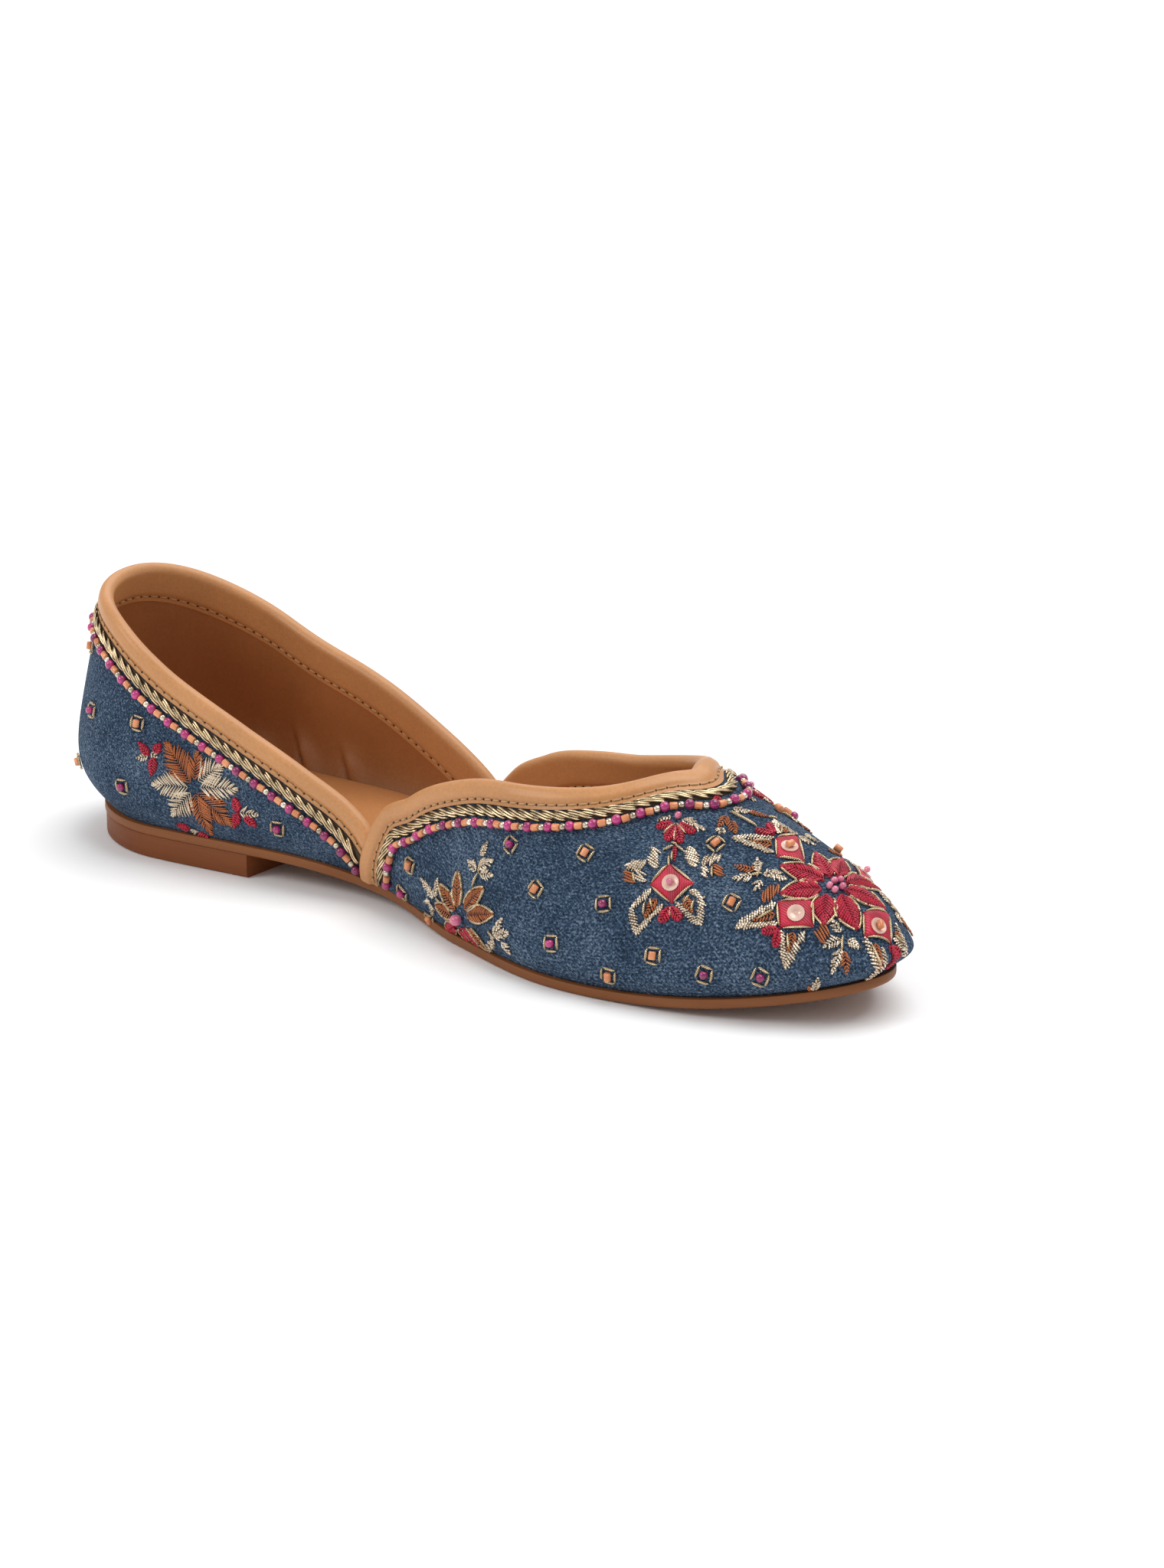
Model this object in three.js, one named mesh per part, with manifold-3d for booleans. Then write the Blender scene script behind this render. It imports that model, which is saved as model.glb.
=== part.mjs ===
// A left mojari flat, women's size 38, empty and standing on its sole. Sizes are in millimetres.
// X runs from heel to toe, Y to the wearer's left and Z up. The functions measure X from the back
// edge of the outsole, and the finished group puts the middle of the heel's floor face at the origin.
// The near side (negative Y) is the inner side of the foot, where the waist is cut in.

import * as THREE from 'three';
import { mergeVertices } from 'three/addons/utils/BufferGeometryUtils.js';
import Module from 'manifold-3d';

const wasm = await Module();
wasm.setup();

// Driving sizes of the bottom
const SOLE_LENGTH = 250;
const BALL_WIDTH = 76;
const SOLE_THICKNESS = 2.6;
const SOLE_EDGE_ROUND = 0.7;
const HEEL_LIFT_HEIGHT = 6.2;
const HEEL_LENGTH = 63;
const HEEL_LIFT_INSET = 0.3;
const TOE_SPRING = 8.5;
const TOE_INSWING = 6;
const INSOLE_THICKNESS = 4.6;
const INSOLE_EDGE_ROUND = 1.4;
const INSOLE_TOE_INSET = 3;

// Driving sizes of the upper
const SOLE_MARGIN = 1.4;
const COLLAR_HEIGHT = 58.5;
const THROAT_HEIGHT = 46;
const HEEL_BULGE = 9;
const HEEL_LEAN = 4.5;
const TOE_OVERHANG = 5.5;
const WALL = 1.7;
const LAP_STEP = 1.1;
const LAP_FADE = 32;

// Driving sizes of the trim
const BINDING_THICKNESS = 0.9;
const BINDING_OUTSIDE = 4.2;
const BINDING_INSIDE = 9;
const BRAID_WIDTH = 3;
const BRAID_HEIGHT = 1.3;
const BEAD_WIDTH = 2.6;
const BEAD_HEIGHT = 1.9;

// Clearances between pieces that touch on the real shoe, a little more over the facets of the upper
const GAP = 0.3;
const TRIM_GAP = 0.4;

// Outsole from above: half widths as shares of half the ball width, stations as shares of the length
const OUTLINE = [
  { at: 0.00, inner: 0.710, outer: 0.710 },
  { at: 0.12, inner: 0.710, outer: 0.725 },
  { at: 0.25, inner: 0.620, outer: 0.750 },
  { at: 0.42, inner: 0.500, outer: 0.780 },
  { at: 0.55, inner: 0.780, outer: 0.850 },
  { at: 0.68, inner: 1.000, outer: 0.985 },
  { at: 0.80, inner: 0.915, outer: 0.920 },
  { at: 0.90, inner: 0.725, outer: 0.730 },
  { at: 1.00, inner: 0.550, outer: 0.540 },
];

// Sections of the last: crest as a share of the throat height, fullness of the curve over it,
// bulge of the wall as a share of the heel's, and its widest height as a share of the collar height
const SECTIONS = [
  { at: 0.00, crest: 2.30, fullness: 0.42, bulge: 1.00, widest: 0.29 },
  { at: 0.10, crest: 2.28, fullness: 0.42, bulge: 0.76, widest: 0.27 },
  { at: 0.20, crest: 2.25, fullness: 0.43, bulge: 0.50, widest: 0.24 },
  { at: 0.40, crest: 1.83, fullness: 0.50, bulge: 0.37, widest: 0.19 },
  { at: 0.55, crest: 1.37, fullness: 0.65, bulge: 0.36, widest: 0.17 },
  { at: 0.65, crest: 1.18, fullness: 0.87, bulge: 0.40, widest: 0.16 },
  { at: 0.76, crest: 1.00, fullness: 1.00, bulge: 0.43, widest: 0.15 },
  { at: 0.85, crest: 0.80, fullness: 0.99, bulge: 0.45, widest: 0.14 },
  { at: 0.92, crest: 0.72, fullness: 0.95, bulge: 0.45, widest: 0.12 },
  { at: 1.00, crest: 0.68, fullness: 0.90, bulge: 0.45, widest: 0.11 },
];

// Quarter topline: height above the sole as a share of the collar height
const QUARTER_TOPLINE = [
  { at: 0.000, inner: 1.000, outer: 1.000 },
  { at: 0.080, inner: 0.895, outer: 0.840 },
  { at: 0.164, inner: 0.690, outer: 0.690 },
  { at: 0.250, inner: 0.520, outer: 0.570 },
  { at: 0.320, inner: 0.390, outer: 0.440 },
  { at: 0.394, inner: 0.250, outer: 0.270 },
  { at: 0.434, inner: 0.062, outer: 0.100 },
];

// Vamp topline: place along the length at each share of the way from the crest down to the sole
const VAMP_TOPLINE = [
  { across: 0.000, inner: 0.767, outer: 0.767 },
  { across: 0.300, inner: 0.710, outer: 0.725 },
  { across: 0.600, inner: 0.576, outer: 0.615 },
  { across: 0.800, inner: 0.474, outer: 0.484 },
  { across: 0.855, inner: 0.432, outer: 0.442 },
  { across: 0.960, inner: 0.389, outer: 0.378 },
  { across: 1.000, inner: 0.365, outer: 0.365 },
];

// Shares that shape the ends of the outline, the dome of the toe and the bottom line
const HEEL_ROUND = 0.13;
const TOE_ROUND = 0.16;
const TOE_DOME = 0.20;
const WAIST_END = 0.56;
const SPRING_START = 0.72;
const INSWING_START = 0.45;
const LEAN_REACH = 0.2;
const THROAT_ROUND = 0.05;
const MITRE = 0.5;
const MITRE_REACH = 0.14;

// How far the upper's wall is carried below the top of the sole before it is cut to its seat
const SINK = 3;

// Mesh steps
const SOLE_STATIONS = 44;
const HEEL_STATIONS = 16;
const QUARTER_COLUMNS = 38;
const QUARTER_ROWS = 6;
const VAMP_COLUMNS = 38;
const VAMP_ROWS = 12;
const THROAT_CROWDING = 2;
const THROAT_REACH = 0.2;
const TIP_STATION = 0.99;

const HALF_TURN = Math.PI;
const QUARTER_TURN = Math.PI / 2;

function clamp(value, low, high) {
  return Math.min(high, Math.max(low, value));
}

function easeIn(share) {
  const u = clamp(share, 0, 1);
  return u * u * (3 - 2 * u);
}

// A smooth curve through one column of a table, each row's slope taken from its neighbours
function columnCurve(rows, key, column) {
  const last = rows.length - 1;
  const slopeAt = (row) => {
    const before = rows[Math.max(row - 1, 0)];
    const after = rows[Math.min(row + 1, last)];
    return (after[column] - before[column]) / (after[key] - before[key]);
  };
  return (place) => {
    let row = 0;
    while (row < last - 1 && place > rows[row + 1][key]) row += 1;
    const span = rows[row + 1][key] - rows[row][key];
    const u = clamp((place - rows[row][key]) / span, 0, 1);
    const start = rows[row][column];
    const end = rows[row + 1][column];
    const rise = easeIn(u);
    const leave = u * (1 - u) * (1 - u) * span * slopeAt(row);
    const arrive = u * u * (u - 1) * span * slopeAt(row + 1);
    return start + (end - start) * rise + leave + arrive;
  };
}

const outlineShare = {
  inner: columnCurve(OUTLINE, 'at', 'inner'),
  outer: columnCurve(OUTLINE, 'at', 'outer'),
};
const crestShare = columnCurve(SECTIONS, 'at', 'crest');
const fullnessAt = columnCurve(SECTIONS, 'at', 'fullness');
const bulgeShare = columnCurve(SECTIONS, 'at', 'bulge');
const widestShare = columnCurve(SECTIONS, 'at', 'widest');
const quarterShare = {
  inner: columnCurve(QUARTER_TOPLINE, 'at', 'inner'),
  outer: columnCurve(QUARTER_TOPLINE, 'at', 'outer'),
};
const vampShare = {
  inner: columnCurve(VAMP_TOPLINE, 'across', 'inner'),
  outer: columnCurve(VAMP_TOPLINE, 'across', 'outer'),
};

function sideName(side) {
  return side < 0 ? 'inner' : 'outer';
}

// Stations crowd together at heel and toe, where the outline turns round
function shareOfLength(station) {
  return (1 - Math.cos(HALF_TURN * station)) / 2;
}

function stationAt(share) {
  return Math.acos(1 - 2 * clamp(share, 0, 1)) / HALF_TURN;
}

const QUARTER_END = QUARTER_TOPLINE[QUARTER_TOPLINE.length - 1].at;
const quarterEnd = stationAt(QUARTER_END);

function halfWidth(share, side, margin) {
  const base = outlineShare[sideName(side)](share) * BALL_WIDTH / 2 - margin;
  const heel = clamp(share / HEEL_ROUND, 0, 1);
  const toe = clamp((share - 1 + TOE_ROUND) / TOE_ROUND, 0, 1);
  return base * Math.sqrt(1 - (1 - heel) ** 2) * Math.sqrt(1 - toe ** 2.2);
}

function centreLine(share) {
  const along = clamp((share - INSWING_START) / (1 - INSWING_START), 0, 1);
  return -TOE_INSWING * along ** 2;
}

function soleBottom(x) {
  const waistStart = HEEL_LENGTH + SOLE_THICKNESS;
  const waist = easeIn((x - waistStart) / (WAIST_END * SOLE_LENGTH - waistStart));
  const spring = Math.max(0, (x / SOLE_LENGTH - SPRING_START) / (1 - SPRING_START));
  return HEEL_LIFT_HEIGHT * (1 - waist) + TOE_SPRING * spring ** 2;
}

function soleTop(x) {
  return soleBottom(x) + SOLE_THICKNESS;
}

// A point of an outline that runs a margin inside the sole's edge, mirrored past heel and toe
function planPoint(station, side, margin) {
  if (station < 0) return planPoint(-station, -side, margin);
  if (station > 1) return planPoint(2 - station, -side, margin);
  const share = shareOfLength(station);
  const x = margin + (SOLE_LENGTH - 2 * margin) * share;
  return new THREE.Vector2(x, centreLine(share) + side * halfWidth(share, side, margin));
}

function planNormal(station, side) {
  const step = 0.001;
  const ahead = planPoint(station + step, side, SOLE_MARGIN);
  const run = ahead.sub(planPoint(station - step, side, SOLE_MARGIN));
  return new THREE.Vector2(-run.y, run.x).multiplyScalar(side).normalize();
}

// The barrel of a wall: nothing at the sole, full at its widest height, easing off above
function barrel(height, share) {
  const u = height / (widestShare(share) * COLLAR_HEIGHT);
  return HEEL_BULGE * bulgeShare(share) * 2 * u / (1 + u * u);
}

// Height of the crest above the wall's lower edge, closed by the dome of the toe
function crestRise(share) {
  const dome = clamp((share - 1 + TOE_DOME) / TOE_DOME, 0, 1);
  return (THROAT_HEIGHT * crestShare(share) + SINK) * Math.sqrt(1 - dome ** 2.4);
}

// The outer face of the upper. Across runs from -1, the inner lower edge, over the crest at 0
// to 1, the outer lower edge. A station below 0 comes round the heel to the other side.
function lastPoint(station, across) {
  if (station < 0) return lastPoint(-station, -across);
  const side = across < 0 ? -1 : 1;
  const share = shareOfLength(station);
  const fullness = fullnessAt(share);
  const turn = QUARTER_TURN * Math.abs(across) ** (1 / fullness);
  const height = crestRise(share) * Math.cos(turn) - SINK;
  const spread = Math.sin(turn);
  const out = planNormal(station, side).multiplyScalar(barrel(height, share) * spread ** 2);
  const lean = HEEL_LEAN * (height / COLLAR_HEIGHT) ** 4 * Math.max(0, 1 - share / LEAN_REACH) ** 2;
  const nose = clamp((share - 1 + TOE_DOME) / TOE_DOME, 0, 1) ** 2;
  const overhang = TOE_OVERHANG * nose * easeIn(height / (widestShare(share) * COLLAR_HEIGHT));
  const x = SOLE_MARGIN + (SOLE_LENGTH - 2 * SOLE_MARGIN) * share;
  const reach = side * halfWidth(share, side, SOLE_MARGIN) * spread ** fullness;
  const z = soleTop(x) + height;
  return new THREE.Vector3(x + out.x + lean + overhang, centreLine(share) + reach + out.y, z);
}

function lastTangents(station, across) {
  const step = 0.001;
  const at = Math.min(station, TIP_STATION);
  const along = lastPoint(at + step, across).sub(lastPoint(at - step, across));
  const over = lastPoint(at, across + step).sub(lastPoint(at, across - step));
  along.divideScalar(2 * step);
  over.divideScalar(2 * step);
  return { along, over, normal: along.clone().cross(over).normalize() };
}

function acrossAtHeight(station, height) {
  const share = shareOfLength(Math.abs(station));
  const turn = Math.acos(clamp((height + SINK) / crestRise(share), -1, 1));
  return (turn / QUARTER_TURN) ** fullnessAt(share);
}

// The vamp steps out over the quarter where they lap, and comes back to the last further on
function vampLift(station) {
  const x = SOLE_LENGTH * shareOfLength(Math.abs(station));
  return LAP_STEP * (1 - easeIn((x - QUARTER_END * SOLE_LENGTH) / LAP_FADE));
}

function noLift() {
  return 0;
}

function facePoint(spot, lift, depth) {
  const { normal } = lastTangents(spot.station, spot.across);
  return lastPoint(spot.station, spot.across).addScaledVector(normal, lift(spot.station) + depth);
}

// One at the throat, and nothing on the quarter or well away from the crest
function nearThroat(spot, reach) {
  if (spot.station < quarterEnd) return 0;
  return Math.exp(-((spot.across / reach) ** 2));
}

// Toplines as paths of spots on the last, with the upper always on the same hand of the path
function quarterSpot(station) {
  const side = station < 0 ? 1 : -1;
  const height = quarterShare[sideName(side)](shareOfLength(Math.abs(station))) * COLLAR_HEIGHT;
  return { station, across: -acrossAtHeight(station, height) };
}

function vampSpot(across) {
  const rounded = Math.hypot(across, THROAT_ROUND) - THROAT_ROUND;
  const blend = easeIn((across + 0.5));
  const inner = vampShare.inner(rounded);
  const outer = vampShare.outer(rounded);
  return { station: stationAt(inner + (outer - inner) * blend), across };
}

// The same path with its spots an even distance apart, and closer together round the throat
function evenSpots(spotAt, from, to, count) {
  const fine = 400;
  const spots = [];
  const lengths = [0];
  for (let i = 0; i <= fine; i += 1) {
    spots.push(spotAt(from + (to - from) * i / fine));
    if (i > 0) {
      const here = lastPoint(spots[i].station, spots[i].across);
      const before = lastPoint(spots[i - 1].station, spots[i - 1].across);
      const crowding = 1 + THROAT_CROWDING * nearThroat(spots[i], THROAT_REACH);
      lengths.push(lengths[i - 1] + here.distanceTo(before) * crowding);
    }
  }
  const even = [];
  let i = 0;
  for (let k = 0; k <= count; k += 1) {
    const wanted = lengths[fine] * k / count;
    while (i < fine - 1 && lengths[i + 1] < wanted) i += 1;
    const u = (wanted - lengths[i]) / (lengths[i + 1] - lengths[i]);
    even.push(spotAt(from + (to - from) * (i + u) / fine));
  }
  return even;
}

// Walks over the last from a spot, straight on in the given heading
function walk(spot, heading, distance) {
  const steps = Math.max(1, Math.ceil(Math.abs(distance) / 1.5));
  const stride = distance / steps;
  const ahead = heading.clone();
  let { station, across } = spot;
  for (let i = 0; i < steps; i += 1) {
    const { along, over, normal } = lastTangents(station, across);
    ahead.addScaledVector(normal, -ahead.dot(normal)).normalize();
    const aa = along.dot(along);
    const ao = along.dot(over);
    const oo = over.dot(over);
    const ha = ahead.dot(along);
    const ho = ahead.dot(over);
    const scale = stride / (aa * oo - ao * ao);
    station += (ha * oo - ho * ao) * scale;
    across += (ho * aa - ha * ao) * scale;
  }
  return { station, across };
}

// The heading from an edge into the upper, square to the path and lying on the last
function intoUpper(spots, index) {
  const before = spots[Math.max(index - 1, 0)];
  const after = spots[Math.min(index + 1, spots.length - 1)];
  const run = lastPoint(after.station, after.across).sub(lastPoint(before.station, before.across));
  const { normal } = lastTangents(spots[index].station, spots[index].across);
  return run.cross(normal).normalize();
}

// Closed solid from loose triangles: corners merged, flat ones dropped, faces turned outwards
function closedSolid(corners) {
  const loose = new THREE.BufferGeometry();
  const numbers = new Float32Array(corners.flatMap((corner) => [corner.x, corner.y, corner.z]));
  loose.setAttribute('position', new THREE.BufferAttribute(numbers, 3));
  const merged = mergeVertices(loose, 0.0001);
  const places = merged.attributes.position.array;
  const index = merged.index.array;
  const kept = [];
  let volume = 0;
  for (let i = 0; i < index.length; i += 3) {
    const [a, b, c] = [index[i], index[i + 1], index[i + 2]];
    if (a === b || b === c || a === c) continue;
    kept.push(a, b, c);
    const first = new THREE.Vector3().fromArray(places, 3 * a);
    const second = new THREE.Vector3().fromArray(places, 3 * b);
    const third = new THREE.Vector3().fromArray(places, 3 * c);
    volume += first.dot(second.cross(third));
  }
  if (volume < 0) kept.reverse();
  const mesh = new wasm.Mesh({ numProp: 3, vertProperties: places, triVerts: new Uint32Array(kept) });
  return new wasm.Manifold(mesh);
}

function addQuad(corners, a, b, c, d) {
  corners.push(a, b, c, a, c, d);
}

// A sheet with thickness: two like grids of points joined all round their edges
function sheetSolid(outside, inside) {
  const corners = [];
  const lastRow = outside.length - 1;
  const lastColumn = outside[0].length - 1;
  for (let i = 0; i < lastRow; i += 1) {
    for (let j = 0; j < lastColumn; j += 1) {
      addQuad(corners, outside[i][j], outside[i][j + 1], outside[i + 1][j + 1], outside[i + 1][j]);
      addQuad(corners, inside[i][j], inside[i + 1][j], inside[i + 1][j + 1], inside[i][j + 1]);
    }
    addQuad(corners, outside[i][0], outside[i + 1][0], inside[i + 1][0], inside[i][0]);
    const end = lastColumn;
    addQuad(corners, outside[i][end], inside[i][end], inside[i + 1][end], outside[i + 1][end]);
  }
  for (let j = 0; j < lastColumn; j += 1) {
    addQuad(corners, outside[0][j], inside[0][j], inside[0][j + 1], outside[0][j + 1]);
    const end = lastRow;
    addQuad(corners, outside[end][j], outside[end][j + 1], inside[end][j + 1], inside[end][j]);
  }
  return closedSolid(corners);
}

// A plate between two stations, with its edge given by layers from the top face to the bottom face
function plateSolid(firstStation, lastStation, stations, layerPoint, layers) {
  const rings = [];
  for (let i = 0; i <= stations; i += 1) {
    const station = firstStation + (lastStation - firstStation) * i / stations;
    rings.push([-1, 1].map((side) => layers.map((layer) => layerPoint(station, side, layer))));
  }
  const corners = [];
  const bottom = layers.length - 1;
  const endFace = ([near, far]) => {
    for (let j = 0; j < bottom; j += 1) addQuad(corners, near[j], near[j + 1], far[j + 1], far[j]);
  };
  for (let i = 0; i < stations; i += 1) {
    const [near, far] = rings[i];
    const [nearNext, farNext] = rings[i + 1];
    for (let j = 0; j < bottom; j += 1) {
      addQuad(corners, near[j], nearNext[j], nearNext[j + 1], near[j + 1]);
      addQuad(corners, far[j], far[j + 1], farNext[j + 1], farNext[j]);
    }
    addQuad(corners, near[0], far[0], farNext[0], nearNext[0]);
    addQuad(corners, near[bottom], nearNext[bottom], farNext[bottom], far[bottom]);
  }
  const touching = ([near, far]) => near[0].distanceTo(far[0]) < 0.001;
  const [first, last] = [rings[0], rings[stations]];
  if (!touching(first)) endFace(first);
  if (!touching(last)) endFace([last[0].toReversed(), last[1].toReversed()]);
  return closedSolid(corners);
}

// Everything up to a little above the top of the sole, taken off what stands on the sole
function soleSpace() {
  const reach = SOLE_LENGTH / 10;
  const profile = new THREE.Shape();
  profile.moveTo(-reach, -reach);
  profile.lineTo(-reach, soleTop(0) + GAP);
  for (let i = 0; i <= SOLE_STATIONS; i += 1) {
    const x = SOLE_LENGTH * shareOfLength(i / SOLE_STATIONS);
    profile.lineTo(x, soleTop(x) + GAP);
  }
  profile.lineTo(SOLE_LENGTH + reach, soleTop(SOLE_LENGTH + reach) + GAP);
  profile.lineTo(SOLE_LENGTH + reach, -reach);
  const depth = 2 * BALL_WIDTH;
  const geometry = new THREE.ExtrudeGeometry(profile, { depth, bevelEnabled: false });
  geometry.rotateX(QUARTER_TURN).translate(0, depth / 2, 0);
  const places = geometry.attributes.position;
  const corners = [];
  for (let i = 0; i < places.count; i += 1) {
    corners.push(new THREE.Vector3().fromBufferAttribute(places, i));
  }
  return closedSolid(corners);
}

function largestPiece(solid) {
  const pieces = solid.decompose();
  return pieces.reduce((best, piece) => (piece.volume() > best.volume() ? piece : best));
}

function makeOutsole() {
  const layers = [
    { inset: 0, up: SOLE_THICKNESS },
    { inset: 0, up: SOLE_EDGE_ROUND },
    { inset: SOLE_EDGE_ROUND * 0.3, up: SOLE_EDGE_ROUND * 0.3 },
    { inset: SOLE_EDGE_ROUND, up: 0 },
  ];
  const layerPoint = (station, side, layer) => {
    const spot = planPoint(station, side, layer.inset);
    return new THREE.Vector3(spot.x, spot.y, soleBottom(spot.x) + layer.up);
  };
  return plateSolid(0, 1, SOLE_STATIONS, layerPoint, layers);
}

function makeHeelLift() {
  const layers = [
    { inset: HEEL_LIFT_INSET, up: HEEL_LIFT_HEIGHT },
    { inset: HEEL_LIFT_INSET, up: SOLE_EDGE_ROUND },
    { inset: HEEL_LIFT_INSET + SOLE_EDGE_ROUND, up: 0 },
  ];
  const layerPoint = (station, side, layer) => {
    const spot = planPoint(station, side, layer.inset);
    return new THREE.Vector3(Math.min(spot.x, HEEL_LENGTH), spot.y, layer.up);
  };
  return plateSolid(0, stationAt(HEEL_LENGTH / SOLE_LENGTH), HEEL_STATIONS, layerPoint, layers);
}

// The padded insole, or the space that the trims keep off when it is grown
function makeInsole(grow) {
  const clear = SOLE_MARGIN + WALL + 4 * GAP - 3 * grow;
  const top = INSOLE_THICKNESS + grow;
  const layers = [
    { inset: clear + INSOLE_EDGE_ROUND, up: top },
    { inset: clear + INSOLE_EDGE_ROUND * 0.3, up: top - INSOLE_EDGE_ROUND * 0.3 },
    { inset: clear, up: top - INSOLE_EDGE_ROUND },
    { inset: clear, up: GAP - grow },
  ];
  const layerPoint = (station, side, layer) => {
    const share = shareOfLength(station);
    const underDome = INSOLE_TOE_INSET * easeIn((share - 1 + TOE_DOME) / TOE_DOME);
    const spot = planPoint(station, side, layer.inset + underDome);
    const follow = barrel(layer.up - GAP, share) * (1 - easeIn((share - 0.5) / 0.3));
    spot.addScaledVector(planNormal(station, side), Math.max(0, follow - GAP));
    return new THREE.Vector3(spot.x, spot.y, soleTop(planPoint(station, side, 0).x) + layer.up);
  };
  return plateSolid(0, 1, SOLE_STATIONS, layerPoint, layers);
}

// The two halves of the upper, each as a sheet between two depths measured from its outer face.
// The quarter can be carried a little above its topline, for what has to keep off it.
function quarterSheet(highest, deepest, above) {
  const outside = [];
  const inside = [];
  for (const top of quarterEdge) {
    const side = top.station < 0 ? 1 : -1;
    const share = quarterShare[sideName(side)](shareOfLength(Math.abs(top.station)));
    const spots = [];
    for (let row = 0; row <= QUARTER_ROWS; row += 1) {
      const height = (share * COLLAR_HEIGHT + above + SINK) * (1 - row / QUARTER_ROWS) - SINK;
      spots.push({ station: top.station, across: -acrossAtHeight(top.station, height) });
    }
    outside.push(spots.map((spot) => facePoint(spot, noLift, highest)));
    inside.push(spots.map((spot) => facePoint(spot, noLift, deepest)));
  }
  return sheetSolid(outside, inside);
}

// The vamp's first rows lie under the lines of its trim, and the others run on to the toe
function vampSheet(highest, deepest) {
  const outside = [];
  const inside = [];
  vampEdge.forEach((edge, index) => {
    const down = intoUpper(vampEdge, index);
    const spots = trimLines.map((line) => walk(edge, down, line * mitre(edge)));
    const { station, across } = spots[spots.length - 1];
    for (let row = 1; row <= VAMP_ROWS; row += 1) {
      spots.push({ station: station + (TIP_STATION - station) * row / VAMP_ROWS, across });
    }
    outside.push(spots.map((spot) => facePoint(spot, vampLift, highest)));
    inside.push(spots.map((spot) => facePoint(spot, vampLift, deepest)));
  });
  return sheetSolid(outside, inside);
}

// Extra width towards the throat, where the trim is mitred
function mitre(spot) {
  return 1 + MITRE * nearThroat(spot, MITRE_REACH);
}

// The leather binding: a strip folded over the edge of the wall, longer inside than outside
function bindingSolid(spots, lift, grow) {
  const lowFace = TRIM_GAP - grow;
  const highFace = TRIM_GAP + BINDING_THICKNESS + grow;
  const outside = [];
  const inside = [];
  spots.forEach((edge, index) => {
    const down = intoUpper(spots, index);
    const { normal } = lastTangents(edge.station, edge.across);
    const middle = facePoint(edge, lift, -WALL / 2);
    const rowOut = [];
    const rowIn = [];
    const leg = (width, side) => {
      const spot = walk(edge, down, width * mitre(edge));
      const base = side > 0 ? 0 : -WALL;
      rowOut.push(facePoint(spot, lift, base + side * highFace));
      rowIn.push(facePoint(spot, lift, base + side * lowFace));
    };
    const roll = (turn) => {
      const direction = normal.clone().multiplyScalar(Math.cos(turn));
      direction.addScaledVector(down, -Math.sin(turn));
      rowOut.push(middle.clone().addScaledVector(direction, WALL / 2 + highFace));
      rowIn.push(middle.clone().addScaledVector(direction, WALL / 2 + lowFace));
    };
    for (const part of [1, 0.5]) leg((BINDING_OUTSIDE + grow) * part, 1);
    for (const part of [0, 0.25, 0.5, 0.75, 1]) roll(HALF_TURN * part);
    for (const part of [0.33, 0.67, 1]) leg((BINDING_INSIDE + grow) * part, -1);
    outside.push(rowOut);
    inside.push(rowIn);
  });
  return sheetSolid(outside, inside);
}

// A raised cord that runs beside the binding, between two distances from the edge
function cordSolid(spots, lift, from, width, height) {
  const profile = [
    { part: 0, up: 0.4 },
    { part: 0.5, up: 1 },
    { part: 1, up: 0.4 },
  ];
  const outside = [];
  const inside = [];
  spots.forEach((edge, index) => {
    const down = intoUpper(spots, index);
    const place = profile.map(({ part }) => walk(edge, down, (from + width * part) * mitre(edge)));
    outside.push(place.map((spot, i) => facePoint(spot, lift, TRIM_GAP + height * profile[i].up)));
    inside.push(place.map((spot) => facePoint(spot, lift, TRIM_GAP)));
  });
  return sheetSolid(outside, inside);
}

const braidFrom = BINDING_OUTSIDE + GAP;
const beadsFrom = braidFrom + BRAID_WIDTH + GAP;
const trimLines = [
  0,
  BINDING_OUTSIDE / 2,
  BINDING_OUTSIDE,
  braidFrom + BRAID_WIDTH / 2,
  beadsFrom,
  beadsFrom + BEAD_WIDTH / 2,
  beadsFrom + BEAD_WIDTH,
];
const quarterEdge = evenSpots(quarterSpot, -quarterEnd, quarterEnd, QUARTER_COLUMNS);
const vampEdge = evenSpots(vampSpot, -1, 1, VAMP_COLUMNS);
const underUpper = soleSpace();

const quarterWall = quarterSheet(0, -WALL, 0);
const vampWall = vampSheet(0, -WALL);
const aroundQuarter = quarterSheet(TRIM_GAP, -WALL - TRIM_GAP, TRIM_GAP);
const aroundVamp = vampSheet(GAP, -WALL - GAP).add(bindingSolid(vampEdge, vampLift, GAP));

const aroundInsole = makeInsole(GAP);
const upper = largestPiece(quarterWall.add(vampWall).subtract(underUpper));

// A trim keeps off what it meets, and is taken clear of the upper's own facets where it touches them
function trimSolid(solid, neighbour) {
  const clear = solid.subtract(neighbour).subtract(underUpper).subtract(aroundInsole);
  return largestPiece(clear.subtract(upper));
}

function trimOnQuarter(solid) {
  return trimSolid(solid, aroundVamp);
}

function trimOnVamp(solid) {
  return trimSolid(solid, aroundQuarter);
}

const solids = {
  outsole: makeOutsole(),
  heel_lift: makeHeelLift(),
  insole: makeInsole(0),
  upper,
  quarter_binding: trimOnQuarter(bindingSolid(quarterEdge, noLift, 0)),
  vamp_binding: trimOnVamp(bindingSolid(vampEdge, vampLift, 0)),
  quarter_braid: trimOnQuarter(cordSolid(quarterEdge, noLift, braidFrom, BRAID_WIDTH, BRAID_HEIGHT)),
  vamp_braid: trimOnVamp(cordSolid(vampEdge, vampLift, braidFrom, BRAID_WIDTH, BRAID_HEIGHT)),
  quarter_beads: trimOnQuarter(cordSolid(quarterEdge, noLift, beadsFrom, BEAD_WIDTH, BEAD_HEIGHT)),
  vamp_beads: trimOnVamp(cordSolid(vampEdge, vampLift, beadsFrom, BEAD_WIDTH, BEAD_HEIGHT)),
};

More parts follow.
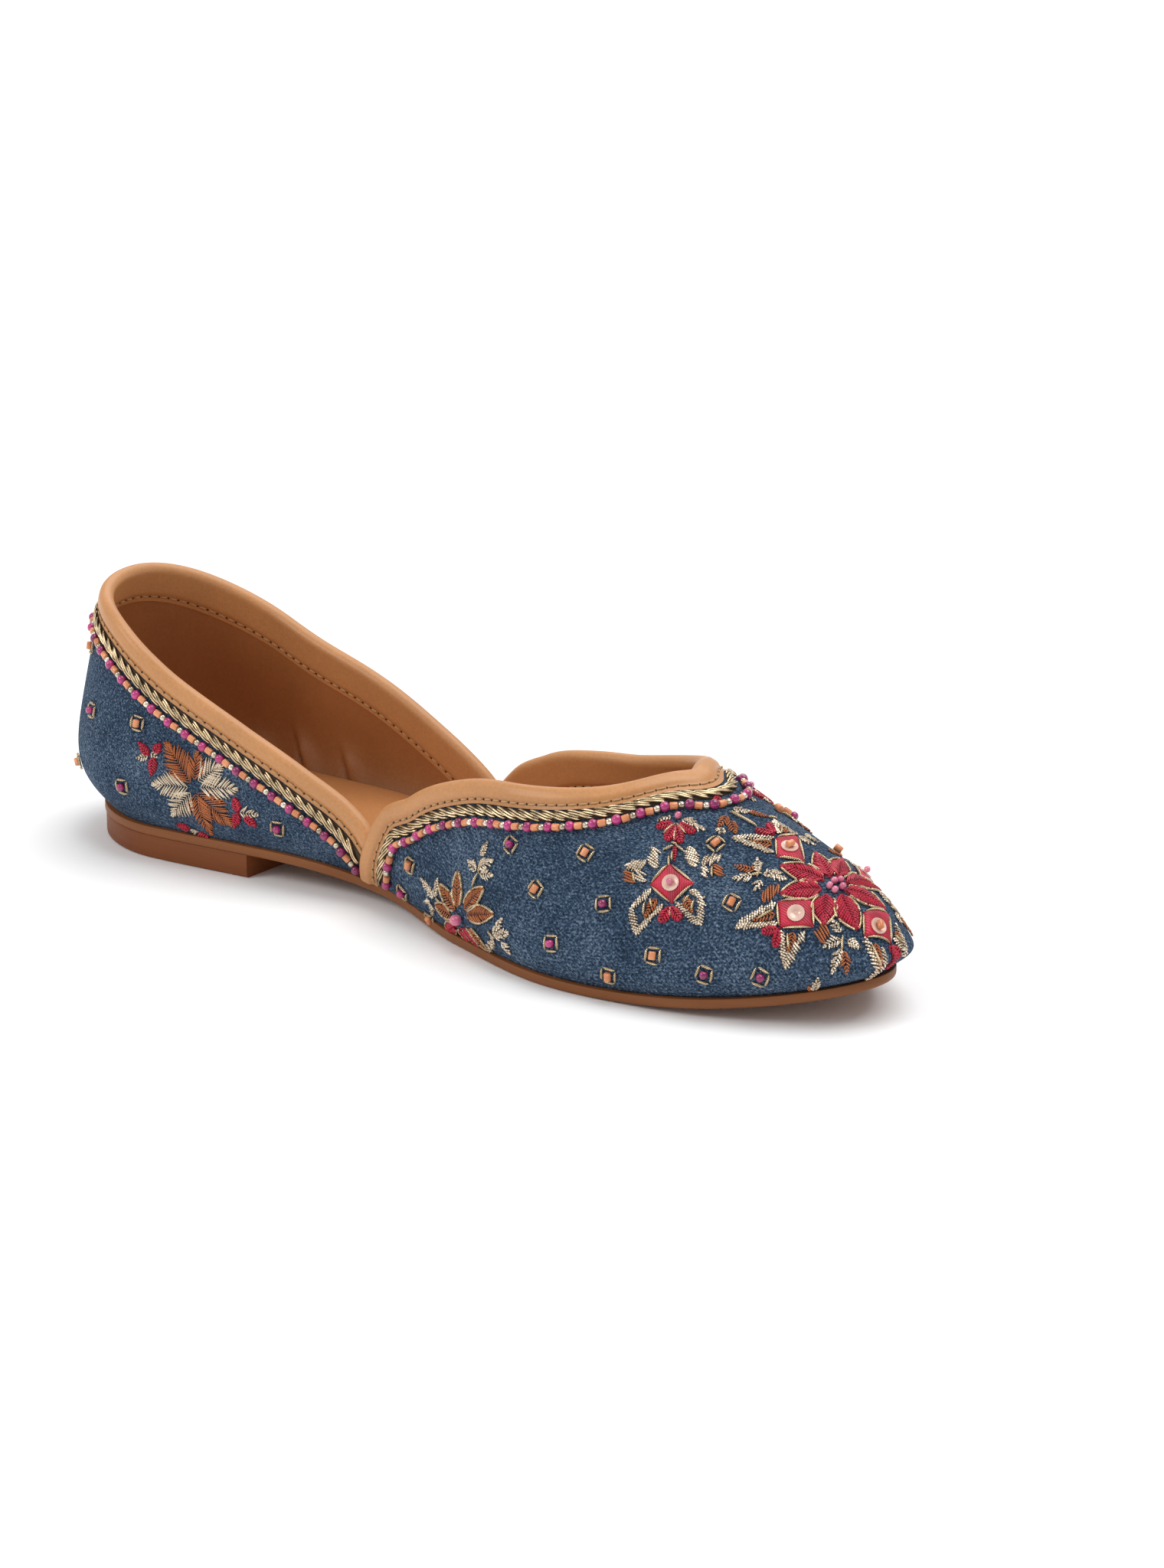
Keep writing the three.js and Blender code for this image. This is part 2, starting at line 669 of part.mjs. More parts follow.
const finishes = {
  outsole: { color: '#96623a', roughness: 0.6, metalness: 0 },
  heel_lift: { color: '#8f5c36', roughness: 0.6, metalness: 0 },
  insole: { color: '#b98f62', roughness: 0.55, metalness: 0 },
  upper: { color: '#3f5d82', roughness: 0.9, metalness: 0 },
  quarter_binding: { color: '#c4925f', roughness: 0.5, metalness: 0 },
  vamp_binding: { color: '#c4925f', roughness: 0.5, metalness: 0 },
  quarter_braid: { color: '#a98a56', roughness: 0.35, metalness: 0.9 },
  vamp_braid: { color: '#a98a56', roughness: 0.35, metalness: 0.9 },
  quarter_beads: { color: '#b0406a', roughness: 0.2, metalness: 0 },
  vamp_beads: { color: '#b0406a', roughness: 0.2, metalness: 0 },
};

const shoe = new THREE.Group();
shoe.position.x = -HEEL_LENGTH / 2;
for (const [name, solid] of Object.entries(solids)) {
  const { vertProperties, triVerts } = solid.getMesh();
  const geometry = new THREE.BufferGeometry();
  geometry.setAttribute('position', new THREE.BufferAttribute(new Float32Array(vertProperties), 3));
  geometry.setIndex(new THREE.BufferAttribute(new Uint32Array(triVerts), 1));
  const mesh = new THREE.Mesh(geometry, new THREE.MeshStandardMaterial(finishes[name]));
  mesh.name = name;
  shoe.add(mesh);
}

export default shoe;
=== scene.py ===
"""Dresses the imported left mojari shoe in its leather, denim, braid, beads and embroidery.

The shoe's own sizes are in millimetres, with X measured from the back edge of the outsole, and
every finished mesh is put into the frame in metres."""

import math

import bmesh
import bpy
import numpy as np
from mathutils import Matrix, Vector


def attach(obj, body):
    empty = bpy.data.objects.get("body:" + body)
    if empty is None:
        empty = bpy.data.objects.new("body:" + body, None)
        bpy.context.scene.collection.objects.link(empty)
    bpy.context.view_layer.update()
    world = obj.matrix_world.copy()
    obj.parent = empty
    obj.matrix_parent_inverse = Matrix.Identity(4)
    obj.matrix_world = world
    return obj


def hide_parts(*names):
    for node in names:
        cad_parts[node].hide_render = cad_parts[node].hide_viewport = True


bl_info = {
    "name": "Mojari Shoe",
    "version": (1, 0, 0),
    "blender": (4, 5, 0),
    "location": "View3D > Sidebar > Mojari",
    "description": "Makes the leather, denim, braid, beads and embroidery of a left mojari shoe",
    "category": "Add Mesh",
}

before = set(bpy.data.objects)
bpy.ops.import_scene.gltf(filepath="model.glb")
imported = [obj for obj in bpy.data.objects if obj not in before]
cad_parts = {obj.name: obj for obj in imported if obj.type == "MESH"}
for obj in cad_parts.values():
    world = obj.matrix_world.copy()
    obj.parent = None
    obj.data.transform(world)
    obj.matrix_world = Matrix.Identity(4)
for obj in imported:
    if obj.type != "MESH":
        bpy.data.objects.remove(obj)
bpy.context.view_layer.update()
MM = 0.001

# The shoe's sizes, the same as the solids have
SOLE_LENGTH = 250
BALL_WIDTH = 76
SOLE_THICKNESS = 2.6
HEEL_LIFT_HEIGHT = 6.2
HEEL_LENGTH = 63
HEEL_LIFT_INSET = 0.3
TOE_SPRING = 8.5
TOE_INSWING = 6
INSOLE_THICKNESS = 4.6
SOLE_MARGIN = 1.4
COLLAR_HEIGHT = 58.5
THROAT_HEIGHT = 46
HEEL_BULGE = 9
HEEL_LEAN = 4.5
TOE_OVERHANG = 5.5
WALL = 1.7
LAP_STEP = 1.1
LAP_FADE = 32
SINK = 3
BINDING_OUTSIDE = 4.2
BINDING_INSIDE = 9
BRAID_WIDTH = 3
BEAD_WIDTH = 2.6
GAP = 0.3
HEEL_ROUND = 0.13
TOE_ROUND = 0.16
TOE_DOME = 0.20
WAIST_END = 0.56
SPRING_START = 0.72
INSWING_START = 0.45
LEAN_REACH = 0.2
THROAT_ROUND = 0.05
MITRE = 0.5
MITRE_REACH = 0.14

# Outline, sections and toplines of the last, as shares of the sizes above
OUTLINE = {
    "at": [0.00, 0.12, 0.25, 0.42, 0.55, 0.68, 0.80, 0.90, 1.00],
    "inner": [0.710, 0.710, 0.620, 0.500, 0.780, 1.000, 0.915, 0.725, 0.550],
    "outer": [0.710, 0.725, 0.750, 0.780, 0.850, 0.985, 0.920, 0.730, 0.540],
}
SECTIONS = {
    "at": [0.00, 0.10, 0.20, 0.40, 0.55, 0.65, 0.76, 0.85, 0.92, 1.00],
    "crest": [2.30, 2.28, 2.25, 1.83, 1.37, 1.18, 1.00, 0.80, 0.72, 0.68],
    "fullness": [0.42, 0.42, 0.43, 0.50, 0.65, 0.87, 1.00, 0.99, 0.95, 0.90],
    "bulge": [1.00, 0.76, 0.50, 0.37, 0.36, 0.40, 0.43, 0.45, 0.45, 0.45],
    "widest": [0.29, 0.27, 0.24, 0.19, 0.17, 0.16, 0.15, 0.14, 0.12, 0.11],
}
QUARTER_TOPLINE = {
    "at": [0.000, 0.080, 0.164, 0.250, 0.320, 0.394, 0.434],
    "inner": [1.000, 0.895, 0.690, 0.520, 0.390, 0.250, 0.062],
    "outer": [1.000, 0.840, 0.690, 0.570, 0.440, 0.270, 0.100],
}
VAMP_TOPLINE = {
    "across": [0.000, 0.300, 0.600, 0.800, 0.855, 0.960, 1.000],
    "inner": [0.767, 0.710, 0.576, 0.474, 0.432, 0.389, 0.365],
    "outer": [0.767, 0.725, 0.615, 0.484, 0.442, 0.378, 0.365],
}


# The last

def column(table, key, name, place):
    """A smooth curve through one column of a table."""
    keys, values = np.array(table[key], float), np.array(table[name], float)
    last = len(keys) - 1
    before = np.maximum(np.arange(last + 1) - 1, 0)
    after = np.minimum(np.arange(last + 1) + 1, last)
    slope = (values[after] - values[before]) / (keys[after] - keys[before])
    place = np.asarray(place, float)
    row = np.clip(np.searchsorted(keys, place, side="left") - 1, 0, last - 1)
    span = keys[row + 1] - keys[row]
    u = np.clip((place - keys[row]) / span, 0, 1)
    rise = u * u * (3 - 2 * u)
    leave = u * (1 - u) ** 2 * span * slope[row]
    arrive = u * u * (u - 1) * span * slope[row + 1]
    return values[row] + (values[row + 1] - values[row]) * rise + leave + arrive


def ease(share):
    u = np.clip(share, 0, 1)
    return u * u * (3 - 2 * u)


def unit(vectors):
    return vectors / (np.linalg.norm(vectors, axis=-1, keepdims=True) + 1e-12)


def share_of_length(station):
    return (1 - np.cos(np.pi * station)) / 2


def station_at(share):
    return np.arccos(1 - 2 * np.clip(share, 0, 1)) / np.pi


def by_side(table, key, place, side):
    return np.where(side < 0, column(table, key, "inner", place), column(table, key, "outer", place))


def half_width(share, side, margin):
    base = by_side(OUTLINE, "at", share, side) * BALL_WIDTH / 2 - margin
    heel = np.clip(share / HEEL_ROUND, 0, 1)
    toe = np.clip((share - 1 + TOE_ROUND) / TOE_ROUND, 0, 1)
    ends = np.sqrt(1 - (1 - heel) ** 2) * np.sqrt(np.maximum(1 - toe ** 2.2, 0))
    return base * ends


def centre_line(share):
    return -TOE_INSWING * np.clip((share - INSWING_START) / (1 - INSWING_START), 0, 1) ** 2


def sole_bottom(x):
    waist_start = HEEL_LENGTH + SOLE_THICKNESS
    waist = ease((x - waist_start) / (WAIST_END * SOLE_LENGTH - waist_start))
    spring = np.maximum(0, (x / SOLE_LENGTH - SPRING_START) / (1 - SPRING_START))
    return HEEL_LIFT_HEIGHT * (1 - waist) + TOE_SPRING * spring ** 2


def sole_top(x):
    return sole_bottom(x) + SOLE_THICKNESS


def plan_point(station, side, margin):
    """A point of the outline a margin inside the sole's edge, mirrored past heel and toe."""
    station, side = np.broadcast_arrays(np.asarray(station, float), np.asarray(side, float))
    past = (station < 0) | (station > 1)
    side = np.where(past, -side, side)
    station = np.where(station < 0, -station, np.where(station > 1, 2 - station, station))
    share = share_of_length(station)
    x = margin + (SOLE_LENGTH - 2 * margin) * share
    return np.stack([x, centre_line(share) + side * half_width(share, side, margin)], -1)


def plan_normal(station, side):
    step = 0.001
    run = plan_point(station + step, side, SOLE_MARGIN) - plan_point(station - step, side, SOLE_MARGIN)
    return unit(np.stack([-run[..., 1], run[..., 0]], -1) * np.asarray(side)[..., None])


def widest_height(share):
    return column(SECTIONS, "at", "widest", share) * COLLAR_HEIGHT


def barrel(height, share):
    u = height / widest_height(share)
    return HEEL_BULGE * column(SECTIONS, "at", "bulge", share) * 2 * u / (1 + u * u)


def crest_rise(share):
    dome = np.clip((share - 1 + TOE_DOME) / TOE_DOME, 0, 1)
    rise = THROAT_HEIGHT * column(SECTIONS, "at", "crest", share) + SINK
    return rise * np.sqrt(np.maximum(1 - dome ** 2.4, 0))


def last_point(station, across):
    """The outer face of the upper. Across is -1 at the inner lower edge, 0 on the crest and 1 at
    the outer lower edge, and a station below 0 comes round the heel to the other side."""
    station, across = np.broadcast_arrays(np.asarray(station, float), np.asarray(across, float))
    across = np.where(station < 0, -across, across)
    station = np.abs(station)
    side = np.where(across < 0, -1.0, 1.0)
    share = share_of_length(station)
    fullness = column(SECTIONS, "at", "fullness", share)
    turn = np.pi / 2 * np.abs(across) ** (1 / fullness)
    height = crest_rise(share) * np.cos(turn) - SINK
    spread = np.sin(turn)
    out = plan_normal(station, side) * (barrel(height, share) * spread ** 2)[..., None]
    lean = HEEL_LEAN * (height / COLLAR_HEIGHT) ** 4 * np.maximum(0, 1 - share / LEAN_REACH) ** 2
    nose = np.clip((share - 1 + TOE_DOME) / TOE_DOME, 0, 1) ** 2
    overhang = TOE_OVERHANG * nose * ease(height / widest_height(share))
    x = SOLE_MARGIN + (SOLE_LENGTH - 2 * SOLE_MARGIN) * share
    reach = side * half_width(share, side, SOLE_MARGIN) * np.maximum(spread, 0) ** fullness
    y = centre_line(share) + reach + out[..., 1]
    return np.stack([x + out[..., 0] + lean + overhang, y, sole_top(x) + height], -1)


def last_tangents(station, across):
    step = 0.001
    at = np.minimum(station, 0.985)
    along = (last_point(at + step, across) - last_point(at - step, across)) / (2 * step)
    over = (last_point(at, across + step) - last_point(at, across - step)) / (2 * step)
    return along, over, unit(np.cross(along, over))


def places_at(spots):
    """Places on the upper's outer face at spots of (station, across)."""
    return last_point(spots[..., 0], spots[..., 1])


def normals_at(spots):
    return last_tangents(spots[..., 0], spots[..., 1])[2]


def across_at_height(station, height):
    share = share_of_length(np.abs(station))
    turn = np.arccos(np.clip((height + SINK) / np.maximum(crest_rise(share), 1e-6), -1, 1))
    return (turn / (np.pi / 2)) ** column(SECTIONS, "at", "fullness", share)


QUARTER_END = QUARTER_TOPLINE["at"][-1]
QUARTER_STATION = station_at(QUARTER_END)


def vamp_lift(station):
    x = SOLE_LENGTH * share_of_length(np.abs(station))
    return LAP_STEP * (1 - ease((x - QUARTER_END * SOLE_LENGTH) / LAP_FADE))


def no_lift(station):
    return np.zeros_like(np.asarray(station, float))


def face_point(spots, lift, depth):
    """Points a depth above the face of the upper."""
    away = lift(spots[..., 0]) + depth
    return places_at(spots) + normals_at(spots) * np.asarray(away)[..., None]


def quarter_spot(station):
    side = np.where(station < 0, 1, -1)
    share = share_of_length(np.abs(station))
    height = by_side(QUARTER_TOPLINE, "at", share, side) * COLLAR_HEIGHT
    return np.stack([station, -across_at_height(station, height)], -1)


def vamp_spot(across):
    rounded = np.hypot(across, THROAT_ROUND) - THROAT_ROUND
    inner = column(VAMP_TOPLINE, "across", "inner", rounded)
    outer = column(VAMP_TOPLINE, "across", "outer", rounded)
    return np.stack([station_at(inner + (outer - inner) * ease(across + 0.5)), across], -1)


def run_length(places):
    """Millimetres along a row of places, from 0 at its start."""
    return np.concatenate([[0], np.cumsum(np.linalg.norm(np.diff(places, axis=0), axis=1))])


def sampled(wanted, length, rows):
    """A row of vectors read at the wanted lengths along its line."""
    return np.stack([np.interp(wanted, length, part) for part in rows.T], -1)


def even_path(spot_at, start, end, pitch):
    """Spots along a topline, a pitch apart in millimetres."""
    fine = spot_at(np.linspace(start, end, 1600))
    length = run_length(places_at(fine))
    wanted = np.linspace(0, length[-1], max(2, int(round(length[-1] / pitch))) + 1)
    return sampled(wanted, length, fine)


def step_spots(spots, heading, distance):
    """Spots moved a distance over the face in headings given as vectors of the frame."""
    along, over, normal = last_tangents(spots[..., 0], spots[..., 1])
    flat = unit(heading - normal * (heading * normal).sum(-1, keepdims=True))
    aa, ao, oo = (along * along).sum(-1), (along * over).sum(-1), (over * over).sum(-1)
    ha, ho = (flat * along).sum(-1), (flat * over).sum(-1)
    scale = distance / (aa * oo - ao * ao)
    return np.stack([spots[..., 0] + (ha * oo - ho * ao) * scale,
                     spots[..., 1] + (ho * aa - ha * ao) * scale], -1)


def walk(spots, heading, distance):
    """Walks over the face from each spot, straight on in its heading."""
    distance = np.broadcast_to(np.asarray(distance, float), spots.shape[:-1])
    steps = max(1, int(math.ceil(float(np.abs(distance).max()) / 1.2)))
    for _ in range(steps):
        spots = step_spots(spots, heading, distance / steps)
    return spots


def into_upper(spots):
    """Headings from an edge into the upper, square to the edge."""
    return unit(np.cross(np.gradient(places_at(spots), axis=0), normals_at(spots)))


def mitre(spots):
    """How much wider a strip lies at the throat, where it turns a corner."""
    near = np.where(spots[:, 0] < QUARTER_STATION, 0, np.exp(-(spots[:, 1] / MITRE_REACH) ** 2))
    return 1 + MITRE * near


# Meshes

MERGE = 0.002


def in_frame(points):
    """Shoe millimetres into the frame's metres, with the origin under the middle of the heel."""
    return (np.asarray(points, float) - np.array([HEEL_LENGTH / 2, 0, 0])) * MM


class Cloth:
    """Gathers vertices, faces and cloth coordinates of one piece before it becomes a mesh."""

    def __init__(self):
        self.points, self.faces, self.flat, self.count = [], [], [], 0

    def add(self, points, faces, flat=None):
        points = np.asarray(points, float).reshape(-1, 3)
        flat = np.zeros((len(points), 2)) if flat is None else np.asarray(flat, float).reshape(-1, 2)
        self.points.append(points)
        self.flat.append(flat)
        self.faces.extend([tuple(int(corner) + self.count for corner in face) for face in faces])
        self.count += len(points)

    def piece(self, name, material, smooth_angle):
        points = in_frame(np.concatenate(self.points))
        flat = np.concatenate(self.flat) * MM
        mesh = bpy.data.meshes.new(name)
        mesh.from_pydata(points.tolist(), [], self.faces)
        corners = np.zeros(len(mesh.loops), dtype=np.int32)
        mesh.loops.foreach_get("vertex_index", corners)
        layer = mesh.uv_layers.new(name="cloth")
        layer.data.foreach_set("uv", flat[corners].ravel().astype(np.float32))
        shape = bmesh.new()
        shape.from_mesh(mesh)
        bmesh.ops.remove_doubles(shape, verts=shape.verts, dist=MERGE * MM)
        bmesh.ops.dissolve_degenerate(shape, edges=shape.edges, dist=MERGE * MM / 2)
        shape.to_mesh(mesh)
        shape.free()
        thing = bpy.data.objects.new(name, mesh)
        bpy.context.scene.collection.objects.link(thing)
        mesh.materials.append(material)
        bpy.ops.object.select_all(action="DESELECT")
        thing.select_set(True)
        bpy.context.view_layer.objects.active = thing
        bpy.ops.object.shade_smooth_by_angle(angle=math.radians(smooth_angle))
        return thing


def grid_faces(rows, columns, offset=0, turned=False):
    """Faces of a grid of points, numbered along its rows."""
    i, j = np.meshgrid(np.arange(rows - 1), np.arange(columns - 1), indexing="ij")
    a = (i * columns + j).ravel() + offset
    quads = np.stack([a, a + 1, a + columns + 1, a + columns], -1)
    return quads[:, ::-1] if turned else quads


def ring_corners(rows, around):
    """Numbers of the first corner and of the next one round, for each face between closed rings."""
    i, j = np.meshgrid(np.arange(rows - 1), np.arange(around), indexing="ij")
    return (i * around + j).ravel(), (i * around + (j + 1) % around).ravel()


def add_shell(cloth, outside, inside, flat):
    """A sheet with thickness between two like grids, closed all round."""
    rows, columns = outside.shape[:2]
    middle = (rows // 2, columns // 2)
    a, b, c = outside[middle], outside[middle[0], middle[1] + 1], outside[middle[0] + 1, middle[1]]
    turned = np.dot(np.cross(b - a, c - a), outside[middle] - inside[middle]) < 0
    size = rows * columns
    front = grid_faces(rows, columns, 0, turned)
    back = grid_faces(rows, columns, size, not turned)
    rim = np.concatenate([np.arange(columns - 1),
                          columns - 1 + columns * np.arange(rows - 1),
                          size - 1 - np.arange(columns - 1),
                          columns * (rows - 1 - np.arange(rows - 1))])
    following = np.roll(rim, -1)
    if turned:
        band = np.stack([rim, following, following + size, rim + size], -1)
    else:
        band = np.stack([rim, rim + size, following + size, following], -1)
    points = np.concatenate([outside.reshape(-1, 3), inside.reshape(-1, 3)])
    both = np.concatenate([flat.reshape(-1, 2), flat.reshape(-1, 2)])
    cloth.add(points, np.concatenate([front, back, band]).tolist(), both)


def measured(grid):
    """Cloth coordinates of a grid: millimetres along it down the middle column, and across each row
    from the middle."""
    rows, columns = grid.shape[:2]
    middle = columns // 2
    along = run_length(grid[:, middle])
    over = np.linalg.norm(np.diff(grid, axis=1), axis=2)
    over = np.concatenate([np.zeros((rows, 1)), np.cumsum(over, axis=1)], axis=1)
    over = over - over[:, middle:middle + 1]
    return np.stack([np.broadcast_to(along[:, None], (rows, columns)), over], -1)


# Cloth coordinates go round each tube in so many mm, and its top lies a quarter of the way round; the
# threaded finishes paint shade on a tube's sides, away from this top
TUBE_ROUND = 10
TUBE_TOP = TUBE_ROUND / 4


def add_tubes(cloth, paths, up, wide, high, sides=6, taper=0, shift=0.0):
    """Closed tubes of oval section along many paths at once. Taper is how many rows close an end,
    and shift moves the cloth coordinates of each, so that each gets a shade of its own."""
    count, rows = paths.shape[:2]
    run = unit(np.gradient(paths, axis=1))
    up = unit(up - run * (up * run).sum(-1, keepdims=True))
    side = np.cross(run, up)
    angle = np.linspace(0, 2 * np.pi, sides, endpoint=False)[:, None]
    size = np.ones(rows)
    if taper:
        size = np.minimum(np.arange(rows), rows - 1 - np.arange(rows)) / taper
        size = np.sqrt(np.clip(size, 0.12, 1))
    ring = side[:, :, None] * np.cos(angle) * wide + up[:, :, None] * np.sin(angle) * high
    points = paths[:, :, None] + ring * size[:, None, None]
    length = np.cumsum(np.linalg.norm(np.diff(paths, axis=1), axis=2), axis=1)
    length = np.concatenate([np.zeros((count, 1)), length], axis=1)
    around = np.arange(sides) / sides * TUBE_ROUND
    flat = np.stack(np.broadcast_arrays((length + shift)[:, :, None], around), -1)
    a, b = ring_corners(rows, sides)
    walls = np.stack([b, b + sides, a + sides, a], -1)
    caps = np.stack([np.arange(sides)[::-1], (rows - 1) * sides + np.arange(sides)])
    start = np.arange(count)[:, None, None] * rows * sides
    faces = (walls + start).reshape(-1, 4).tolist() + (caps + start).reshape(-1, sides).tolist()
    cloth.add(points, faces, flat)


def copy_shape(cloth, shape, places, run, up, scale=1.0):
    """Puts copies of a small shape at places, its X along run and its Z along up."""
    points, faces = shape
    up = unit(up)
    run = unit(run - up * (run * up).sum(-1, keepdims=True))
    side = np.cross(up, run)
    scale = np.broadcast_to(np.asarray(scale, float), (len(places),))
    for place, x, y, z, size in zip(places, run, side, up, scale):
        moved = place + size * (points[:, :1] * x + points[:, 1:2] * y + points[:, 2:] * z)
        cloth.add(moved, faces)


def modelled(add):
    """Runs a modelling function on a fresh primitive and keeps its shape, in millimetres."""
    bpy.ops.object.select_all(action="DESELECT")
    add()
    thing = bpy.context.active_object
    bpy.ops.object.transform_apply(location=True, rotation=True, scale=True)
    points = np.array([vertex.co[:] for vertex in thing.data.vertices])
    faces = [list(face.vertices) for face in thing.data.polygons]
    mesh = thing.data
    bpy.data.objects.remove(thing)
    bpy.data.meshes.remove(mesh)
    return points, faces


def round_bead():
    """A bead flattened at its two bored ends, with its hole along X."""
    bpy.ops.mesh.primitive_uv_sphere_add(segments=10, ring_count=7, radius=1)
    bpy.ops.transform.rotate(value=math.pi / 2, orient_axis="Y", center_override=(0, 0, 0))
    thing = bpy.context.active_object
    bpy.ops.object.transform_apply(location=True, rotation=True, scale=True)
    bpy.ops.object.mode_set(mode="EDIT")
    for end in (-0.8, 0.8):
        bpy.ops.mesh.select_all(action="SELECT")
        bpy.ops.mesh.bisect(plane_co=(end, 0, 0), plane_no=(math.copysign(1, end), 0, 0),
                            use_fill=True, clear_outer=True)
    bpy.ops.object.mode_set(mode="OBJECT")
    thing.select_set(True)


def tube_bead():
    """A short cut length of glass tube with its edges broken, along X."""
    bpy.ops.mesh.primitive_cylinder_add(vertices=10, radius=1, depth=2, rotation=(0, math.pi / 2, 0))
    thing = bpy.context.active_object
    edge = thing.modifiers.new("edge", "BEVEL")
    edge.width = 0.22
    edge.segments = 2
    edge.limit_method = "ANGLE"
    bpy.ops.object.modifier_apply(modifier="edge")


def thread_stitch():
    """One lockstitch of sewing thread, along X, sunk at both ends."""
    bpy.ops.mesh.primitive_uv_sphere_add(segments=8, ring_count=6, radius=1)
    bpy.ops.transform.rotate(value=math.pi / 2, orient_axis="Y", center_override=(0, 0, 0))


def cupped_sequin():
    """A round sequin with a small hole and a slightly raised rim."""
    bpy.ops.mesh.primitive_cylinder_add(vertices=20, radius=1, depth=0.14)
    bpy.ops.object.mode_set(mode="EDIT")
    bpy.ops.mesh.select_mode(type="FACE")
    bpy.ops.mesh.select_all(action="DESELECT")
    bpy.ops.object.mode_set(mode="OBJECT")
    thing = bpy.context.active_object
    for face in thing.data.polygons:
        face.select = face.normal.z > 0.5
    bpy.ops.object.mode_set(mode="EDIT")
    bpy.ops.mesh.inset(thickness=0.22)
    bpy.ops.mesh.inset(thickness=0.5)
    bpy.ops.transform.translate(value=(0, 0, -0.12))
    bpy.ops.mesh.inset(thickness=0.1)
    bpy.ops.transform.translate(value=(0, 0, -0.1))
    bpy.ops.object.mode_set(mode="OBJECT")


# Materials

# A wave texture of scale 1 has 1 / 0.314 waves per unit
WAVES_TO_SCALE = 0.314


def connect(tree, node, inputs):
    """Gives a node its inputs, each a value or a socket to link from."""
    for key, value in inputs.items():
        if isinstance(value, bpy.types.NodeSocket):
            tree.links.new(value, node.inputs[key])
        else:
            node.inputs[key].default_value = value


def add_node(tree, kind, inputs=None, **settings):
    node = tree.nodes.new(kind)
    for key, value in settings.items():
        setattr(node, key, value)
    connect(tree, node, inputs or {})
    return node


def blend_colours(tree, share, first, second, kind="MIX"):
    """A colour mix; the share, first and second may be values or sockets."""
    first, second = [part if isinstance(part, bpy.types.NodeSocket) else (*part, 1)
                     for part in (first, second)]
    node = add_node(tree, "ShaderNodeMix", {0: share, 6: first, 7: second},
                    data_type="RGBA", blend_type=kind)
    return node.outputs[2]


def sums(tree, operation, first, second=0.5):
    return add_node(tree, "ShaderNodeMath", {0: first, 1: second}, operation=operation).outputs[0]


def weighed(tree, first, share, second, rest):
    """The first value times its share plus the second times the rest."""
    return sums(tree, "ADD", sums(tree, "MULTIPLY", first, share), sums(tree, "MULTIPLY", second, rest))


def ranged(tree, value, low, high, to_low=0.0, to_high=1.0):
    node = add_node(tree, "ShaderNodeMapRange", {"Value": value, "From Min": low, "From Max": high,
                                                 "To Min": to_low, "To Max": to_high})
    return node.outputs["Result"]


def noise(tree, vector, scale, detail=3.0, rough=0.5):
    node = add_node(tree, "ShaderNodeTexNoise",
                    {"Vector": vector, "Scale": scale, "Detail": detail, "Roughness": rough})
    return node.outputs["Fac"]


def object_place(tree):
    return add_node(tree, "ShaderNodeTexCoord").outputs["Object"]


def cloth_place(tree):
    return add_node(tree, "ShaderNodeUVMap", uv_map="cloth").outputs["UV"]


def stretched(tree, vector, scale, turn=0.0):
    node = add_node(tree, "ShaderNodeMapping",
                    {"Vector": vector, "Scale": scale, "Rotation": (0, 0, turn)})
    return node.outputs["Vector"]


def plain_material(name):
    """A new material with its shader; the shader and its node tree come back with it."""
    material = bpy.data.materials.new(name)
    material.use_nodes = True
    tree = material.node_tree
    return material, tree, tree.nodes["Principled BSDF"]


def shaded(tree, tone, share):
    """A colour socket times a share of brightness."""
    grey = add_node(tree, "ShaderNodeCombineColor", {"Red": share, "Green": share, "Blue": share})
    return blend_colours(tree, 1.0, tone, grey.outputs["Color"], "MULTIPLY")


def bump(tree, height, strength, distance):
    node = add_node(tree, "ShaderNodeBump",
                    {"Height": height, "Strength": strength, "Distance": distance})
    return node.outputs["Normal"]


def new_group(name, sockets, results):
    """A node group that takes a vector and named values with their defaults, and gives values."""
    group = bpy.data.node_groups.new(name, "ShaderNodeTree")
    face = group.interface
    face.new_socket("Vector", in_out="INPUT", socket_type="NodeSocketVector")
    for label, value in sockets.items():
        socket = face.new_socket(label, in_out="INPUT", socket_type="NodeSocketFloat")
        socket.default_value = value
    for label in results:
        face.new_socket(label, in_out="OUTPUT", socket_type="NodeSocketFloat")
    start = group.nodes.new("NodeGroupInput")
    end = group.nodes.new("NodeGroupOutput")
    return group, start.outputs, end


def grain_group():
    """Leather and rubber grain: fine pores over soft blotches."""
    group, given, end = new_group("Grain", {"Pores per metre": 1400, "Blotches per metre": 45},
                                  ("Pores", "Blotches"))
    cells = add_node(group, "ShaderNodeTexVoronoi",
                     {"Vector": given["Vector"], "Scale": given["Pores per metre"]},
                     feature="SMOOTH_F1")
    fine = noise(group, given["Vector"], given["Pores per metre"], 2.0)
    pores = sums(group, "ADD", cells.outputs["Distance"], sums(group, "MULTIPLY", fine, 0.6))
    soft = noise(group, given["Vector"], given["Blotches per metre"], 3.0, 0.55)
    connect(group, end, {"Pores": pores, "Blotches": soft})
    return group


def ribs_group():
    """Fine ribs across a thread or wire, from its own cloth coordinates."""
    group, given, end = new_group("Ribs", {"Ribs per metre": 400, "Slant": 0.3}, ("Ribs",))
    turn = add_node(group, "ShaderNodeVectorRotate",
                    {"Vector": given["Vector"], "Angle": given["Slant"]})
    scale = sums(group, "MULTIPLY", given["Ribs per metre"], WAVES_TO_SCALE)
    wave = add_node(group, "ShaderNodeTexWave",
                    {"Vector": turn.outputs["Vector"], "Scale": scale, "Distortion": 0.8, "Detail": 1.0})
    connect(group, end, {"Ribs": wave.outputs["Fac"]})
    return group


